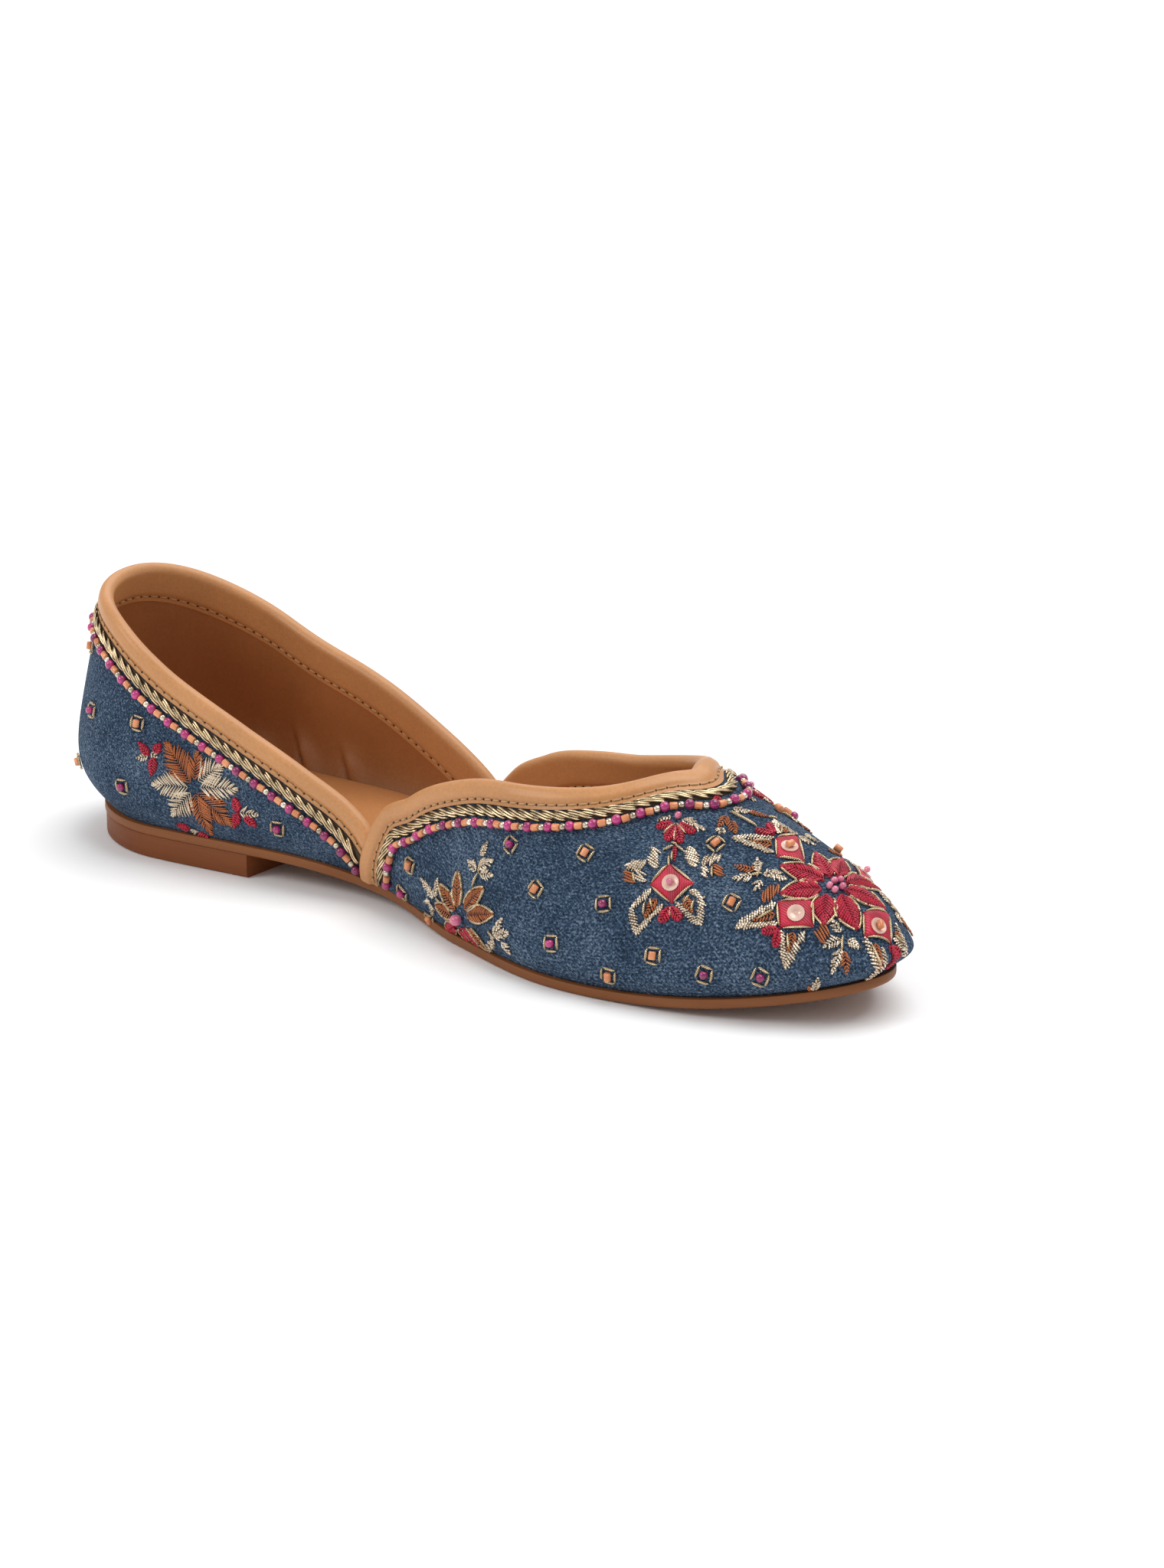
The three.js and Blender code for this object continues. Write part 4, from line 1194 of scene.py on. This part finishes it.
# Satin patches: (silk, form, twin, rows), where each row is (start along, start across, end along,
# end across, width in mm). Outlined ones are edged with wire.
PATCHES = [
    ("red", "outlined", 0, [(832, -161, 790, -241, 5.7), (834, -103, 802, 18, 5.1),
        (838, -48, 817, 201, 5.7), (848, -41, 854, 410, 5.4), (853, -119, 892, 209, 5.8),
        (853, -182, 891, -369, 5.9), (842, -255, 855, -475, 5.9), (836, -240, 804, -402, 5.4)]),
    ("red", "bud", 2, [(815, -580, 801, -617, 2.6), (815, -582, 816, -674, 2.6)]),
    ("red", "bud", 0, [(937, -155, 955, 157, 2.4), (939, -159, 973, 49, 2.6),
        (764, -52, 750, -101, 2.6), (764, -48, 751, 3, 2.4)]),
    ("orange", "block", 0, [(801, -369, 790, -457, 3.2)]),
    ("orange", "block", 2, [(858, -474, 854, -577, 3.2)]),
    ("orange", "block", 0, [(852, 458, 858, 496, 2.8)]),
    ("zari", "petal", 2, [(875, -475, 860, -413, 2.2), (878, -511, 860, -614, 2.4),
        (883, -504, 902, -496, 2.4), (880, -571, 875, -758, 2.6)]),
    ("orange", "petal", 2, [(883, -576, 893, -739, 2.6)]),
    ("zari", "petal", 0, [(778, -336, 769, -260, 2.2)]),
    ("orange", "petal", 0, [(774, -334, 756, -350, 2.2)]),
    ("zari", "petal", 0, [(775, -365, 760, -413, 2.4), (782, -365, 782, -437, 2.4),
        (782, -344, 789, -283, 2.2), (786, -310, 803, -307, 2.6), (709, 93, 723, 121, 3)]),
    ("red", "petal", 0, [(703, 173, 715, 241, 2.4)]),
    ("zari", "petal", 0, [(722, -66, 734, 1, 2.4)]),
    ("orange", "petal", 0, [(732, -15, 744, 66, 2.2), (725, -120, 726, -210, 2.8),
        (729, -137, 741, -190, 2.8)]),
    ("zari", "petal", 0, [(729, -199, 731, -243, 2.2), (735, 292, 745, 334, 2.2)]),
    ("orange", "petal", 0, [(745, 332, 757, 332, 2.2)]),
    ("zari", "petal", 0, [(775, 75, 793, 105, 2.6), (773, 149, 789, 177, 2.2)]),
    ("orange", "petal", 0, [(800, 170, 806, 288, 2.2)]),
    ("zari", "petal", 2, [(874, -925, 863, -789, 2.2)]),
    ("orange", "petal", 2, [(872, -925, 861, -859, 1.6)]),
    ("red", "petal", 0, [(705, -69, 717, -93, 2.6)]),
    ("zari", "petal", 0, [(865, 524, 875, 574, 2.2)]),
    ("zari", "petal", 1, [(699, -277, 720, -259, 3.2), (692, -287, 684, -336, 1.4)]),
    ("red", "bud", 1, [(696, -307, 686, -359, 2.4), (698, -311, 698, -388, 2.8),
        (698, -310, 709, -367, 2.8), (699, -296, 714, -296, 2.4)]),
    ("red", "petal", 1, [(706, -389, 711, -444, 1)]),
    ("zari", "block", 1, [(693, -434, 697, -504, 3.2), (677, -539, 691, -509, 3),
        (689, -534, 691, -570, 2.6)]),
    ("orange", "block", 1, [(681, -553, 684, -588, 2.6)]),
    ("zari", "block", 1, [(718, -362, 726, -434, 3.2), (731, -394, 743, -342, 2.4),
        (735, -407, 738, -454, 2.2)]),
    ("orange", "block", 1, [(744, -380, 748, -427, 2.8)]),
    ("red", "bud", 1, [(722, -608, 718, -676, 3), (722, -608, 733, -646, 3)]),
    ("orange", "outlined", 1, [(543, -924, 524, -904, 3.8), (545, -918, 541, -853, 3.8),
        (552, -910, 570, -831, 4.1), (555, -915, 584, -864, 4.3), (537, -941, 520, -942, 3.8),
        (556, -937, 571, -973, 3.8)]),
    ("red", "outlined", 1, [(538, -957, 523, -983, 3.8), (544, -954, 547, -980, 4.1),
        (550, -945, 559, -977, 3.6)]),
    ("zari", "petal", 1, [(519, -935, 504, -922, 2.4), (520, -932, 522, -897, 2.2),
        (515, -946, 513, -967, 2.4), (515, -944, 507, -953, 1.8), (560, -816, 549, -817, 2.6),
        (561, -810, 574, -756, 2.8), (563, -813, 577, -788, 2.8), (561, -782, 565, -735, 2.2),
        (585, -914, 593, -856, 2.4), (586, -913, 601, -879, 2.4), (585, -920, 570, -975, 2.6),
        (593, -912, 600, -937, 3)]),
    ("orange", "petal", 1, [(288, -951, 260, -924, 8.2), (291, -948, 293, -925, 6.6)]),
    ("cream", "petal", 1, [(294, -948, 318, -929, 7.6), (296, -952, 333, -945, 7.2)]),
    ("orange", "petal", 1, [(294, -956, 325, -976, 8.2), (292, -957, 300, -989, 6.8)]),
    ("cream", "petal", 1, [(288, -957, 264, -979, 7.6), (286, -954, 247, -957, 7.2)]),
    ("red", "petal", 1, [(244, -937, 232, -928, 2.5), (249, -937, 247, -951, 2.8),
        (249, -934, 256, -926, 2.5)]),
    ("cream", "petal", 1, [(244, -937, 230, -940, 2.3), (245, -934, 253, -937, 2.3)]),
    ("red", "petal", 1, [(332, -963, 329, -952, 2.8), (332, -963, 326, -977, 2.8),
        (337, -965, 347, -971, 2.8)]),
    ("cream", "petal", 1, [(333, -963, 350, -961, 3)]),
    ("red", "petal", 1, [(278, -988, 266, -985, 2.8), (284, -991, 295, -991, 2.8)]),
    ("cream", "petal", 1, [(282, -986, 281, -991, 2.8)]),
]

# Red diamonds of satin: (twin, then along and across of the four corners)
DIAMONDS = [
    (0, 804, -445, 834, -345, 846, -514, 815, -577),
    (0, 767, -69, 775, 75, 805, -119, 782, -195),
    (0, 885, -156, 897, 255, 938, -52, 902, -389),
    (0, 812, 369, 820, 396, 840, 439, 845, 213),
    (1, 708, -461, 733, -493, 722, -599, 700, -565),
]

# Outlined leaves: (twin, then along and across from one foot over the tip to the other foot)
LEAVES = [
    (2, 804, -462, 778, -617, 812, -562),
    (2, 818, -587, 829, -766, 839, -556),
    (0, 767, -83, 741, -215, 777, -181),
    (0, 765, -31, 750, 67, 774, 74),
    (0, 903, -379, 958, -780, 930, -299),
    (0, 931, 85, 952, 355, 910, 274),
    (1, 703, -579, 692, -663, 701, -739, 716, -614),
    (1, 733, -522, 744, -545, 749, -645, 725, -588),
]

# Lengths of bullion wire: (twin, rows), each row with along and across of its points
WIRES = [
    (2, [(877, -477, 881, -590)]),
    (0, [(777, -321, 778, -361), (772, -368, 780, -330), (723, -92, 734, -81, 748, -71),
        (744, 60, 749, 102), (863, 409, 862, 513)]),
    (1, [(697, -306, 693, -367), (697, -302, 708, -319), (698, -308, 703, -370), (702, -385, 707, -380),
        (706, -413, 709, -448), (705, -434, 709, -473), (705, -391, 699, -428), (706, -386, 714, -391),
        (684, -549, 688, -577), (740, -396, 744, -440), (722, -609, 724, -646), (704, -607, 708, -634),
        (701, -627, 703, -670), (733, -546, 731, -582), (738, -557, 739, -600), (558, -854, 561, -818),
        (562, -817, 563, -781), (579, -909, 586, -917), (521, -930, 527, -931)]),
]

# Beads and sequins of the motifs: (kind, twin, rows), each row with along and across
CENTRES = [
    ("pink", 0, [(843, -74), (840, -191), (847, -195), (840, -125), (850, -120)]),
    ("sequin", 0, [(825, -476)]),
    ("sequin_peach", 0, [(784, -88), (909, -145)]),
    ("sequin_pink", 0, [(824, 402)]),
    ("peach", 0, [(733, 225)]),
    ("magenta", 0, [(736, 332)]),
    ("peach", 0, [(790, 351)]),
    ("pink", 1, [(696, -273)]),
    ("sequin_pink", 1, [(716, -530)]),
    ("pink_large", 1, [(546, -935)]),
]

# Scattered beads in squares of wire, on both sides: (kind, rows), each row with along and across
SPOTS = [
    ("magenta", [(586, -687), (670, -685), (637, -853), (762, -831), (809, -820)]),
    ("peach", [(645, -566), (616, -738), (684, -897), (491, -922), (504, -982), (733, -294),
        (768, -520), (719, -794)]),
    ("magenta", [(478, -970), (156, -917), (214, -963), (365, -968)]),
    ("peach", [(229, -914), (117, -871), (115, -963)]),
]

# How each silk is stitched: pitch and half thickness in mm, and how uneven its stitches are
STITCHING = {
    "red": (0.72, 0.3, 0.05),
    "orange": (0.76, 0.26, 0.12),
    "cream": (0.82, 0.27, 0.14),
    "zari": (0.68, 0.28, 0.26),
}

# Slant of the stitches over a block, as a share of its half width
BLOCK_SLANT = 0.3

# How far a patch or diamond reaches down into the denim
STITCH_DEPTH = 0.12

# Square of wire round a scattered bead: distance of its sides from the bead, and their half length
SQUARE_REACH = 1.8
SQUARE_HALF = 1.5


def twins(row_places, twin):
    """The row's own spots and those of its twin, in shares."""
    own = np.array(row_places, float).reshape(-1, 2) / 1000
    made = [own]
    if twin:
        axis = -0.06 if twin == 2 else 0.0
        made.append(np.stack([own[:, 0], axis - own[:, 1]], -1))
    return made


def cloth_lift(station):
    return np.where(np.asarray(station) < QUARTER_STATION, 0.0, vamp_lift(station))


def on_cloth(spots, height):
    return face_point(spots, cloth_lift, height)


def sideways(spots, heading, distance):
    """Spots moved square to a heading over the cloth."""
    return step_spots(spots, np.cross(normals_at(spots), heading), distance)


def patch_width(form, run):
    if form == "block":
        return np.clip(np.minimum(run, 1 - run) * 12, 0.55, 1)
    if form == "bud":
        rounded = np.sqrt(np.maximum(1 - ((run - 0.62) / 0.39) ** 2, 0))
        return np.where(run < 0.62, 0.18 + 0.82 * (run / 0.62) ** 0.9, rounded)
    return 0.06 + 0.94 * np.sin(np.pi * run ** 0.85) ** 0.9


def padding(silk, width, lean):
    """Height of the padding under a patch; only the red silk has a thick pad under it."""
    puff = 0.5 if silk == "red" and width > 2 else 0.22
    return 0.1 + puff * np.maximum(1 - lean ** 2, 0) ** 0.55


def add_stitches(cloth, silk, form, start, end, width, chance):
    """Threads over a patch, slanting out from its middle line, or straight across a block."""
    pitch, thick, uneven = STITCHING[silk]
    ends = on_cloth(np.stack([start, end]), 0.0)
    heading = ends[1] - ends[0]
    length = np.linalg.norm(heading)
    count = max(3, int(round(length / pitch)))
    root = ((np.arange(count) + 0.5) / count)[:, None]
    slant = 0.0 if form == "block" else min(0.4, 0.5 * width / length)
    leans = [np.linspace(0, side, 4) for side in (-1, 1)]
    if form == "block":
        leans = [np.linspace(-1, 1, 6)]
    for lean in leans:
        shake = chance.normal(0, 0.1 * uneven, root.shape)
        far = np.clip(root * (1 - 0.6 * slant) + slant + shake, 0, 0.98)
        share = root + (far - root) * np.abs(lean)
        if form == "block":
            far = root
            share = np.clip(root + lean * BLOCK_SLANT * width / length, 0, 1)
        reach = width / 2 * patch_width(form, far) * (1 + chance.normal(0, uneven, root.shape))
        centre = start + (end - start) * share[..., None]
        spots = sideways(centre, np.broadcast_to(heading, (*share.shape, 3)), lean * reach)
        height = padding(silk, width, lean) + 0.3 * thick + chance.normal(0, 0.3 * uneven, root.shape)
        shade = 20 * chance.random(root.shape)
        add_tubes(cloth, on_cloth(spots, height), normals_at(spots), thick, thick, 5, 1, shade)


def add_patch(cloth, silk, form, start, end, width, chance):
    """A satin patch from one spot to another; the other silks let the denim show between threads."""
    add_stitches(cloth, silk, form, start, end, width, chance)
    if silk != "red":
        return
    rows, columns = 11, 7
    run = np.linspace(0, 1, rows)
    centre = start + (end - start) * run[:, None]
    places = on_cloth(centre, 0.0)
    heading = np.gradient(places, axis=0)
    half = 0.42 * width * patch_width(form, run)
    lean = np.linspace(-1, 1, columns)
    grid = np.repeat(centre[:, None], columns, axis=1)
    ahead = np.repeat(heading[:, None], columns, axis=1)
    spots = sideways(grid, ahead, lean[None] * half[:, None])
    ends = np.clip(np.minimum(run, 1 - run) * 7 + 0.25, 0, 1)
    height = (padding(silk, width, lean)[None] - 0.1) * ends[:, None]
    along = np.repeat(run_length(places)[:, None], columns, axis=1)
    # The pad's cloth coordinate round the tube is the top, so it gets no painted side shade
    flat = np.stack([along, np.full_like(along, TUBE_TOP)], -1)
    add_shell(cloth, on_cloth(spots, height), on_cloth(spots, -STITCH_DEPTH), flat)


def add_wire(cloth, spots, height=0.55, thick=0.34):
    """A length of bullion wire over given spots, dipping into the cloth at both ends."""
    spots = np.asarray(spots, float)
    share = np.linspace(0, len(spots) - 1, max(6, 5 * (len(spots) - 1) + 1))
    line = sampled(share, np.arange(len(spots)), spots)
    arch = np.full(len(share), float(height))
    arch[0] = arch[-1] = height * 0.45
    add_tubes(cloth, on_cloth(line, arch)[None], normals_at(line)[None], thick, thick, 6, 1.2)


def between(first, second, share):
    return first + (second - first) * share


def add_outline(cloth, start, end, width):
    """Two wires down the edges of a petal, from near its foot to its tip."""
    for side in (-1, 1):
        for low, high in ((0.1, 0.52), (0.56, 0.98)):
            run = np.linspace(low, high, 4)
            centre = start + (end - start) * run[:, None]
            heading = np.gradient(on_cloth(centre, 0.0), axis=0)
            edge = side * (width / 2 * patch_width("petal", run) + 0.12)
            add_wire(cloth, sideways(centre, heading, edge), 0.42)


def add_diamond(silk, wire, corners):
    share = np.linspace(0, 1, 11)
    u, v = np.meshgrid(share, share, indexing="ij")
    weights = np.stack([(1 - u) * (1 - v), u * (1 - v), u * v, (1 - u) * v], -1)
    spots = weights @ corners
    inner = np.minimum(np.minimum(u, 1 - u), np.minimum(v, 1 - v))
    height = 0.1 + 0.65 * np.clip(inner * 8, 0, 1) ** 0.5
    away = np.maximum(np.abs(u - 0.5), np.abs(v - 0.5))
    # The diamond's cloth coordinate round the tube stays near the top, so it gets no painted side shade
    ring = np.stack([away * 0.4 + (u - v) * 7, TUBE_TOP + 0.2 * (u + v)], -1)
    add_shell(silk, on_cloth(spots, height), on_cloth(spots, -STITCH_DEPTH), ring)
    for first, second in zip(corners, np.roll(corners, -1, axis=0)):
        add_wire(wire, [between(first, second, 0.1), between(first, second, 0.9)], 0.5)


def add_leaf(gold, silk, wire, points, chance):
    """A leaf drawn in gold stitches round a small orange heart."""
    for first, second in zip(points[:-1], points[1:]):
        add_patch(gold, "zari", "block", first, second, 1.7, chance)
    foot = (points[0] + points[-1]) / 2
    tip = points[-2] if len(points) == 4 else points[1]
    heart = between(foot, tip, 0.58)
    gap = np.linalg.norm(np.diff(on_cloth(np.stack([points[0], points[-1]]), 0.0), axis=0))
    add_patch(silk, "orange", "petal", foot, heart, max(1.6, 0.5 * gap), chance)
    if len(points) == 3:
        low, high = between(foot, tip, 0.5), between(foot, tip, 0.12)
        add_wire(wire, [between(points[0], high, 0.5), low], 0.55)


def set_shapes(cloth, shape, spot, height, heading=(1, 0, 0), size=1.0):
    spots = np.asarray(spot, float)[None]
    headings = np.array([heading], float)
    copy_shape(cloth, shape, on_cloth(spots, height), headings, normals_at(spots), size)


def make_embroidery():
    chance = np.random.default_rng(11)
    silks = {name: Cloth() for name in ("red", "orange", "cream", "zari", "bullion")}
    wire = silks["bullion"]
    for silk, form, twin, rows in PATCHES:
        for *ends, width in rows:
            for start, end in twins(ends, twin):
                add_patch(silks[silk], silk, form, start, end, width, chance)
                if form == "outlined":
                    add_outline(wire, start, end, width)
    for twin, *corners in DIAMONDS:
        for places in twins(corners, twin):
            add_diamond(silks["red"], wire, places)
    for twin, *points in LEAVES:
        for places in twins(points, twin):
            add_leaf(silks["zari"], silks["orange"], wire, places, chance)
    for twin, rows in WIRES:
        for points in rows:
            for places in twins(points, twin):
                add_wire(wire, places)
    made = []
    for name, cloth in silks.items():
        piece = cloth.piece(name + "_embroidery", MATERIALS[name], 60)
        made.append(piece)
    return made


def set_centre(clothes, shapes, kind, spot, chance):
    """A bead, or a sequin that may hold a bead, at the middle of a motif."""
    first, _, second = kind.partition("_")
    if kind == "pink_large":
        set_shapes(clothes["pink"], shapes["pink"], spot, 1.3, (0, 0, 1), 1.7)
    elif first == "sequin":
        set_shapes(clothes["sequin"], shapes["sequin"], spot, 0.95)
        if second:
            set_shapes(clothes[second], shapes[second], spot, 1.75, (0.4, 0.2, 1), 0.9)
    else:
        set_shapes(clothes[first], shapes[first], spot, 1.0, (1, chance.normal(0, 0.5), 0))


def add_square(wire, spot, heading, chance):
    """Four lengths of wire round a scattered bead."""
    middle = np.repeat(spot[None], 2, axis=0)
    normal = normals_at(middle)
    for quarter in range(4):
        angle = quarter * math.pi / 2 + chance.normal(0, 0.07)
        forward = unit(heading - normal * (heading * normal).sum(-1, keepdims=True))
        out = forward * math.cos(angle) + np.cross(normal, forward) * math.sin(angle)
        place = step_spots(middle, out, SQUARE_REACH)
        ends = step_spots(place, np.cross(normal, out), np.array([-SQUARE_HALF, SQUARE_HALF]))
        add_wire(wire, ends, 0.55, 0.36)


def make_sequins():
    chance = np.random.default_rng(7)
    shapes = {}
    for name, form, size in (("magenta", round_bead, 1.15), ("pink", round_bead, (0.85, 0.95, 0.95)),
                             ("peach", tube_bead, (1.05, 0.95, 0.95)), ("sequin", cupped_sequin, 2.1)):
        points, faces = modelled(form)
        shapes[name] = (points * np.array(size), faces)
    clothes = {name: Cloth() for name in shapes}
    wire = Cloth()
    for kind, twin, rows in CENTRES:
        for row in rows:
            for places in twins(row, twin):
                set_centre(clothes, shapes, kind, places[0], chance)
    for kind, rows in SPOTS:
        for row in rows:
            for places in twins(row, 1):
                tilt = chance.normal(0.2, 0.25)
                heading = np.array([math.sin(tilt), 0, math.cos(tilt)])
                set_shapes(clothes[kind], shapes[kind], places[0], 0.95, heading, 0.95)
                add_square(wire, places[0], heading, chance)
    made = []
    for name, cloth in clothes.items():
        piece = cloth.piece(name + "_settings", MATERIALS[name], 60)
        made.append(piece)
    frames = wire.piece("wire_squares", MATERIALS["bullion"], 60)
    return made + [frames]


# Stage

# The camera as it was fitted to the photo: how far it stands round from the shoe's side, how high
# and how far, in metres, and its pixels
CAMERA_TURN = math.radians(38.7)
CAMERA_RISE = math.radians(18.0)
CAMERA_ROLL = math.radians(-0.3)
CAMERA_DISTANCE = 1.1406
CAMERA_TARGET = (0.0935, 0, 0.03)
PHOTO_SIZE = (1520, 2048)
FOCAL_PIXELS = 5894.5
CENTRE_PIXEL = (638.8, 1033.8)
SENSOR_WIDTH = 36

def aim(thing, target, roll=0.0):
    away = thing.location - Vector(target)
    thing.rotation_mode = "QUATERNION"
    turn = Matrix.Rotation(roll, 3, "Z").to_quaternion()
    thing.rotation_quaternion = away.to_track_quat("Z", "Y") @ turn


def soft_light(name, place, target, size, power):
    lamp = bpy.data.lights.new(name, "AREA")
    lamp.shape = "RECTANGLE"
    lamp.size, lamp.size_y = size
    lamp.energy = power
    thing = bpy.data.objects.new(name, lamp)
    thing.location = place
    bpy.context.scene.collection.objects.link(thing)
    aim(thing, target)


def set_camera():
    """Adds the camera that was fitted to the photo."""
    camera = bpy.data.cameras.new("camera")
    thing = bpy.data.objects.new("camera", camera)
    bpy.context.scene.collection.objects.link(thing)
    turn, rise = CAMERA_TURN, CAMERA_RISE
    back = Vector((math.sin(turn) * math.cos(rise), -math.cos(turn) * math.cos(rise), math.sin(rise)))
    target = Vector(CAMERA_TARGET)
    thing.location = target + back * CAMERA_DISTANCE
    aim(thing, target, CAMERA_ROLL)
    camera.sensor_width = SENSOR_WIDTH
    camera.lens = FOCAL_PIXELS / PHOTO_SIZE[1] * SENSOR_WIDTH
    camera.shift_x = (PHOTO_SIZE[0] / 2 - CENTRE_PIXEL[0]) / PHOTO_SIZE[1]
    camera.shift_y = (CENTRE_PIXEL[1] - PHOTO_SIZE[1] / 2) / PHOTO_SIZE[1]
    camera.clip_start, camera.clip_end = 0.05, 20
    bpy.context.scene.camera = thing


def make_stage(stage):
    bpy.ops.object.select_all(action="DESELECT")
    bpy.ops.mesh.primitive_plane_add(size=40, location=(0, 0, 0))
    floor = bpy.context.active_object
    floor.name = "floor"
    bpy.ops.object.transform_apply(location=True, rotation=True, scale=True)
    material, tree, shader = plain_material("pale floor")
    place = add_node(tree, "ShaderNodeTexCoord").outputs["Object"]
    tone = blend_colours(tree, noise(tree, place, 2.0, 2.0), (0.95, 0.95, 0.95), (0.97, 0.97, 0.97))
    tree.links.new(tone, shader.inputs["Base Color"])
    shader.inputs["Roughness"].default_value = 0.85
    floor.data.materials.append(material)
    world = bpy.data.worlds.new("studio")
    bpy.context.scene.world = world
    world.use_nodes = True
    sky = world.node_tree.nodes["Background"]
    sky.inputs["Color"].default_value = (1, 1, 1, 1)
    sky.inputs["Strength"].default_value = stage.surround
    middle = (0.09, 0, 0.03)
    overhead = bpy.data.lights.new("overhead", "SUN")
    overhead.energy = stage.overhead
    overhead.angle = math.radians(50)
    thing = bpy.data.objects.new("overhead", overhead)
    thing.location = (0.35, 0.4, 1.5)
    bpy.context.scene.collection.objects.link(thing)
    aim(thing, middle)
    soft_light("side", (-0.6, -1.0, 0.95), middle, (0.7, 0.6), stage.side)
    soft_light("back", (-0.5, 0.9, 0.8), middle, (1.0, 0.4), stage.back)
    set_camera()
    bpy.context.scene.view_settings.view_transform = "Standard"


# Panel and operators

class ShoeFinish(bpy.types.PropertyGroup):
    """Colours of the shoe's finishes."""

    leather: bpy.props.FloatVectorProperty(
        name="Leather", description="Tan of the binding; the lining and insole are darker shades of it",
        subtype="COLOR", size=3, min=0, max=1, default=(0.57, 0.265, 0.1))
    denim: bpy.props.FloatVectorProperty(
        name="Denim", description="Middle blue of the washed denim",
        subtype="COLOR", size=3, min=0, max=1, default=(0.029, 0.056, 0.102))
    gold: bpy.props.FloatVectorProperty(
        name="Gold wire", description="Colour of the braid and of the bullion wire",
        subtype="COLOR", size=3, min=0, max=1, default=(0.94, 0.73, 0.45))


class ShoeStage(bpy.types.PropertyGroup):
    """Light round the shoe."""

    surround: bpy.props.FloatProperty(
        name="Surround", description="Strength of the even light from all round", min=0, default=0.55)
    overhead: bpy.props.FloatProperty(
        name="Overhead", description="Strength of the wide light above the shoe", min=0, default=1.9)
    side: bpy.props.FloatProperty(
        name="Side", description="Power of the light on the near side", subtype="POWER",
        min=0, default=6)
    back: bpy.props.FloatProperty(
        name="Back", description="Power of the light behind the shoe", subtype="POWER", min=0, default=2)


def settle(things):
    """Lets finished pieces ride on the shoe's one body."""
    for thing in things:
        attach(thing, "root")
    return {"FINISHED"}


class MakeSole(bpy.types.Operator):
    """Makes the moulded outsole and the heel block"""

    bl_idname = "mojari.make_sole"
    bl_label = "Sole and heel"

    def execute(self, context):
        return settle(make_sole())


class MakeInsole(bpy.types.Operator):
    """Makes the padded insole"""

    bl_idname = "mojari.make_insole"
    bl_label = "Insole"

    def execute(self, context):
        return settle(make_insole())


class MakeUpper(bpy.types.Operator):
    """Makes the denim quarter and vamp with their leather lining"""

    bl_idname = "mojari.make_upper"
    bl_label = "Upper and lining"

    def execute(self, context):
        return settle(make_upper())


class MakeBindings(bpy.types.Operator):
    """Makes the folded leather bindings and their stitches"""

    bl_idname = "mojari.make_bindings"
    bl_label = "Bindings"

    def execute(self, context):
        return settle(make_bindings())


class MakeBraid(bpy.types.Operator):
    """Makes the twisted gold braid beside the bindings"""

    bl_idname = "mojari.make_braid"
    bl_label = "Braid"

    def execute(self, context):
        return settle(make_braid())


class MakeBeads(bpy.types.Operator):
    """Strings the beads beside the braid"""

    bl_idname = "mojari.make_beads"
    bl_label = "Bead strings"

    def execute(self, context):
        return settle(make_beads())


class MakeEmbroidery(bpy.types.Operator):
    """Stitches the silk, gold thread and bullion wire of the flowers and leaves"""

    bl_idname = "mojari.make_embroidery"
    bl_label = "Embroidery"

    def execute(self, context):
        return settle(make_embroidery())


class MakeSequins(bpy.types.Operator):
    """Sews on the sequins and single beads"""

    bl_idname = "mojari.make_sequins"
    bl_label = "Sequins and single beads"

    def execute(self, context):
        return settle(make_sequins())


class MakeStage(bpy.types.Operator):
    """Makes the floor, the lights and the camera"""

    bl_idname = "mojari.make_stage"
    bl_label = "Stage"

    def execute(self, context):
        make_stage(context.scene.mojari_stage)
        return {"FINISHED"}


OPERATORS = (MakeSole, MakeInsole, MakeUpper, MakeBindings, MakeBraid, MakeBeads,
             MakeEmbroidery, MakeSequins, MakeStage)


class MojariPanel(bpy.types.Panel):
    """Colours, lights and pieces of the mojari shoe"""

    bl_idname = "VIEW3D_PT_mojari"
    bl_label = "Mojari Shoe"
    bl_space_type = "VIEW_3D"
    bl_region_type = "UI"
    bl_category = "Mojari"

    def draw(self, context):
        for name in ("leather", "denim", "gold"):
            self.layout.prop(context.scene.mojari_finish, name)
        for name in ("surround", "overhead", "side", "back"):
            self.layout.prop(context.scene.mojari_stage, name)
        for operator in OPERATORS:
            self.layout.operator(operator.bl_idname)


CLASSES = (ShoeFinish, ShoeStage, *OPERATORS, MojariPanel)


def register():
    for kind in CLASSES:
        bpy.utils.register_class(kind)
    bpy.types.Scene.mojari_finish = bpy.props.PointerProperty(type=ShoeFinish)
    bpy.types.Scene.mojari_stage = bpy.props.PointerProperty(type=ShoeStage)


def unregister():
    del bpy.types.Scene.mojari_stage
    del bpy.types.Scene.mojari_finish
    for kind in reversed(CLASSES):
        bpy.utils.unregister_class(kind)


def main():
    register()
    make_materials(bpy.context.scene.mojari_finish)
    for operator in OPERATORS:
        call = getattr(bpy.ops.mojari, operator.bl_idname.split(".")[1])
        if call() != {"FINISHED"}:
            raise RuntimeError(operator.bl_label + " wasn't finished")


if __name__ == "__main__":
    main()
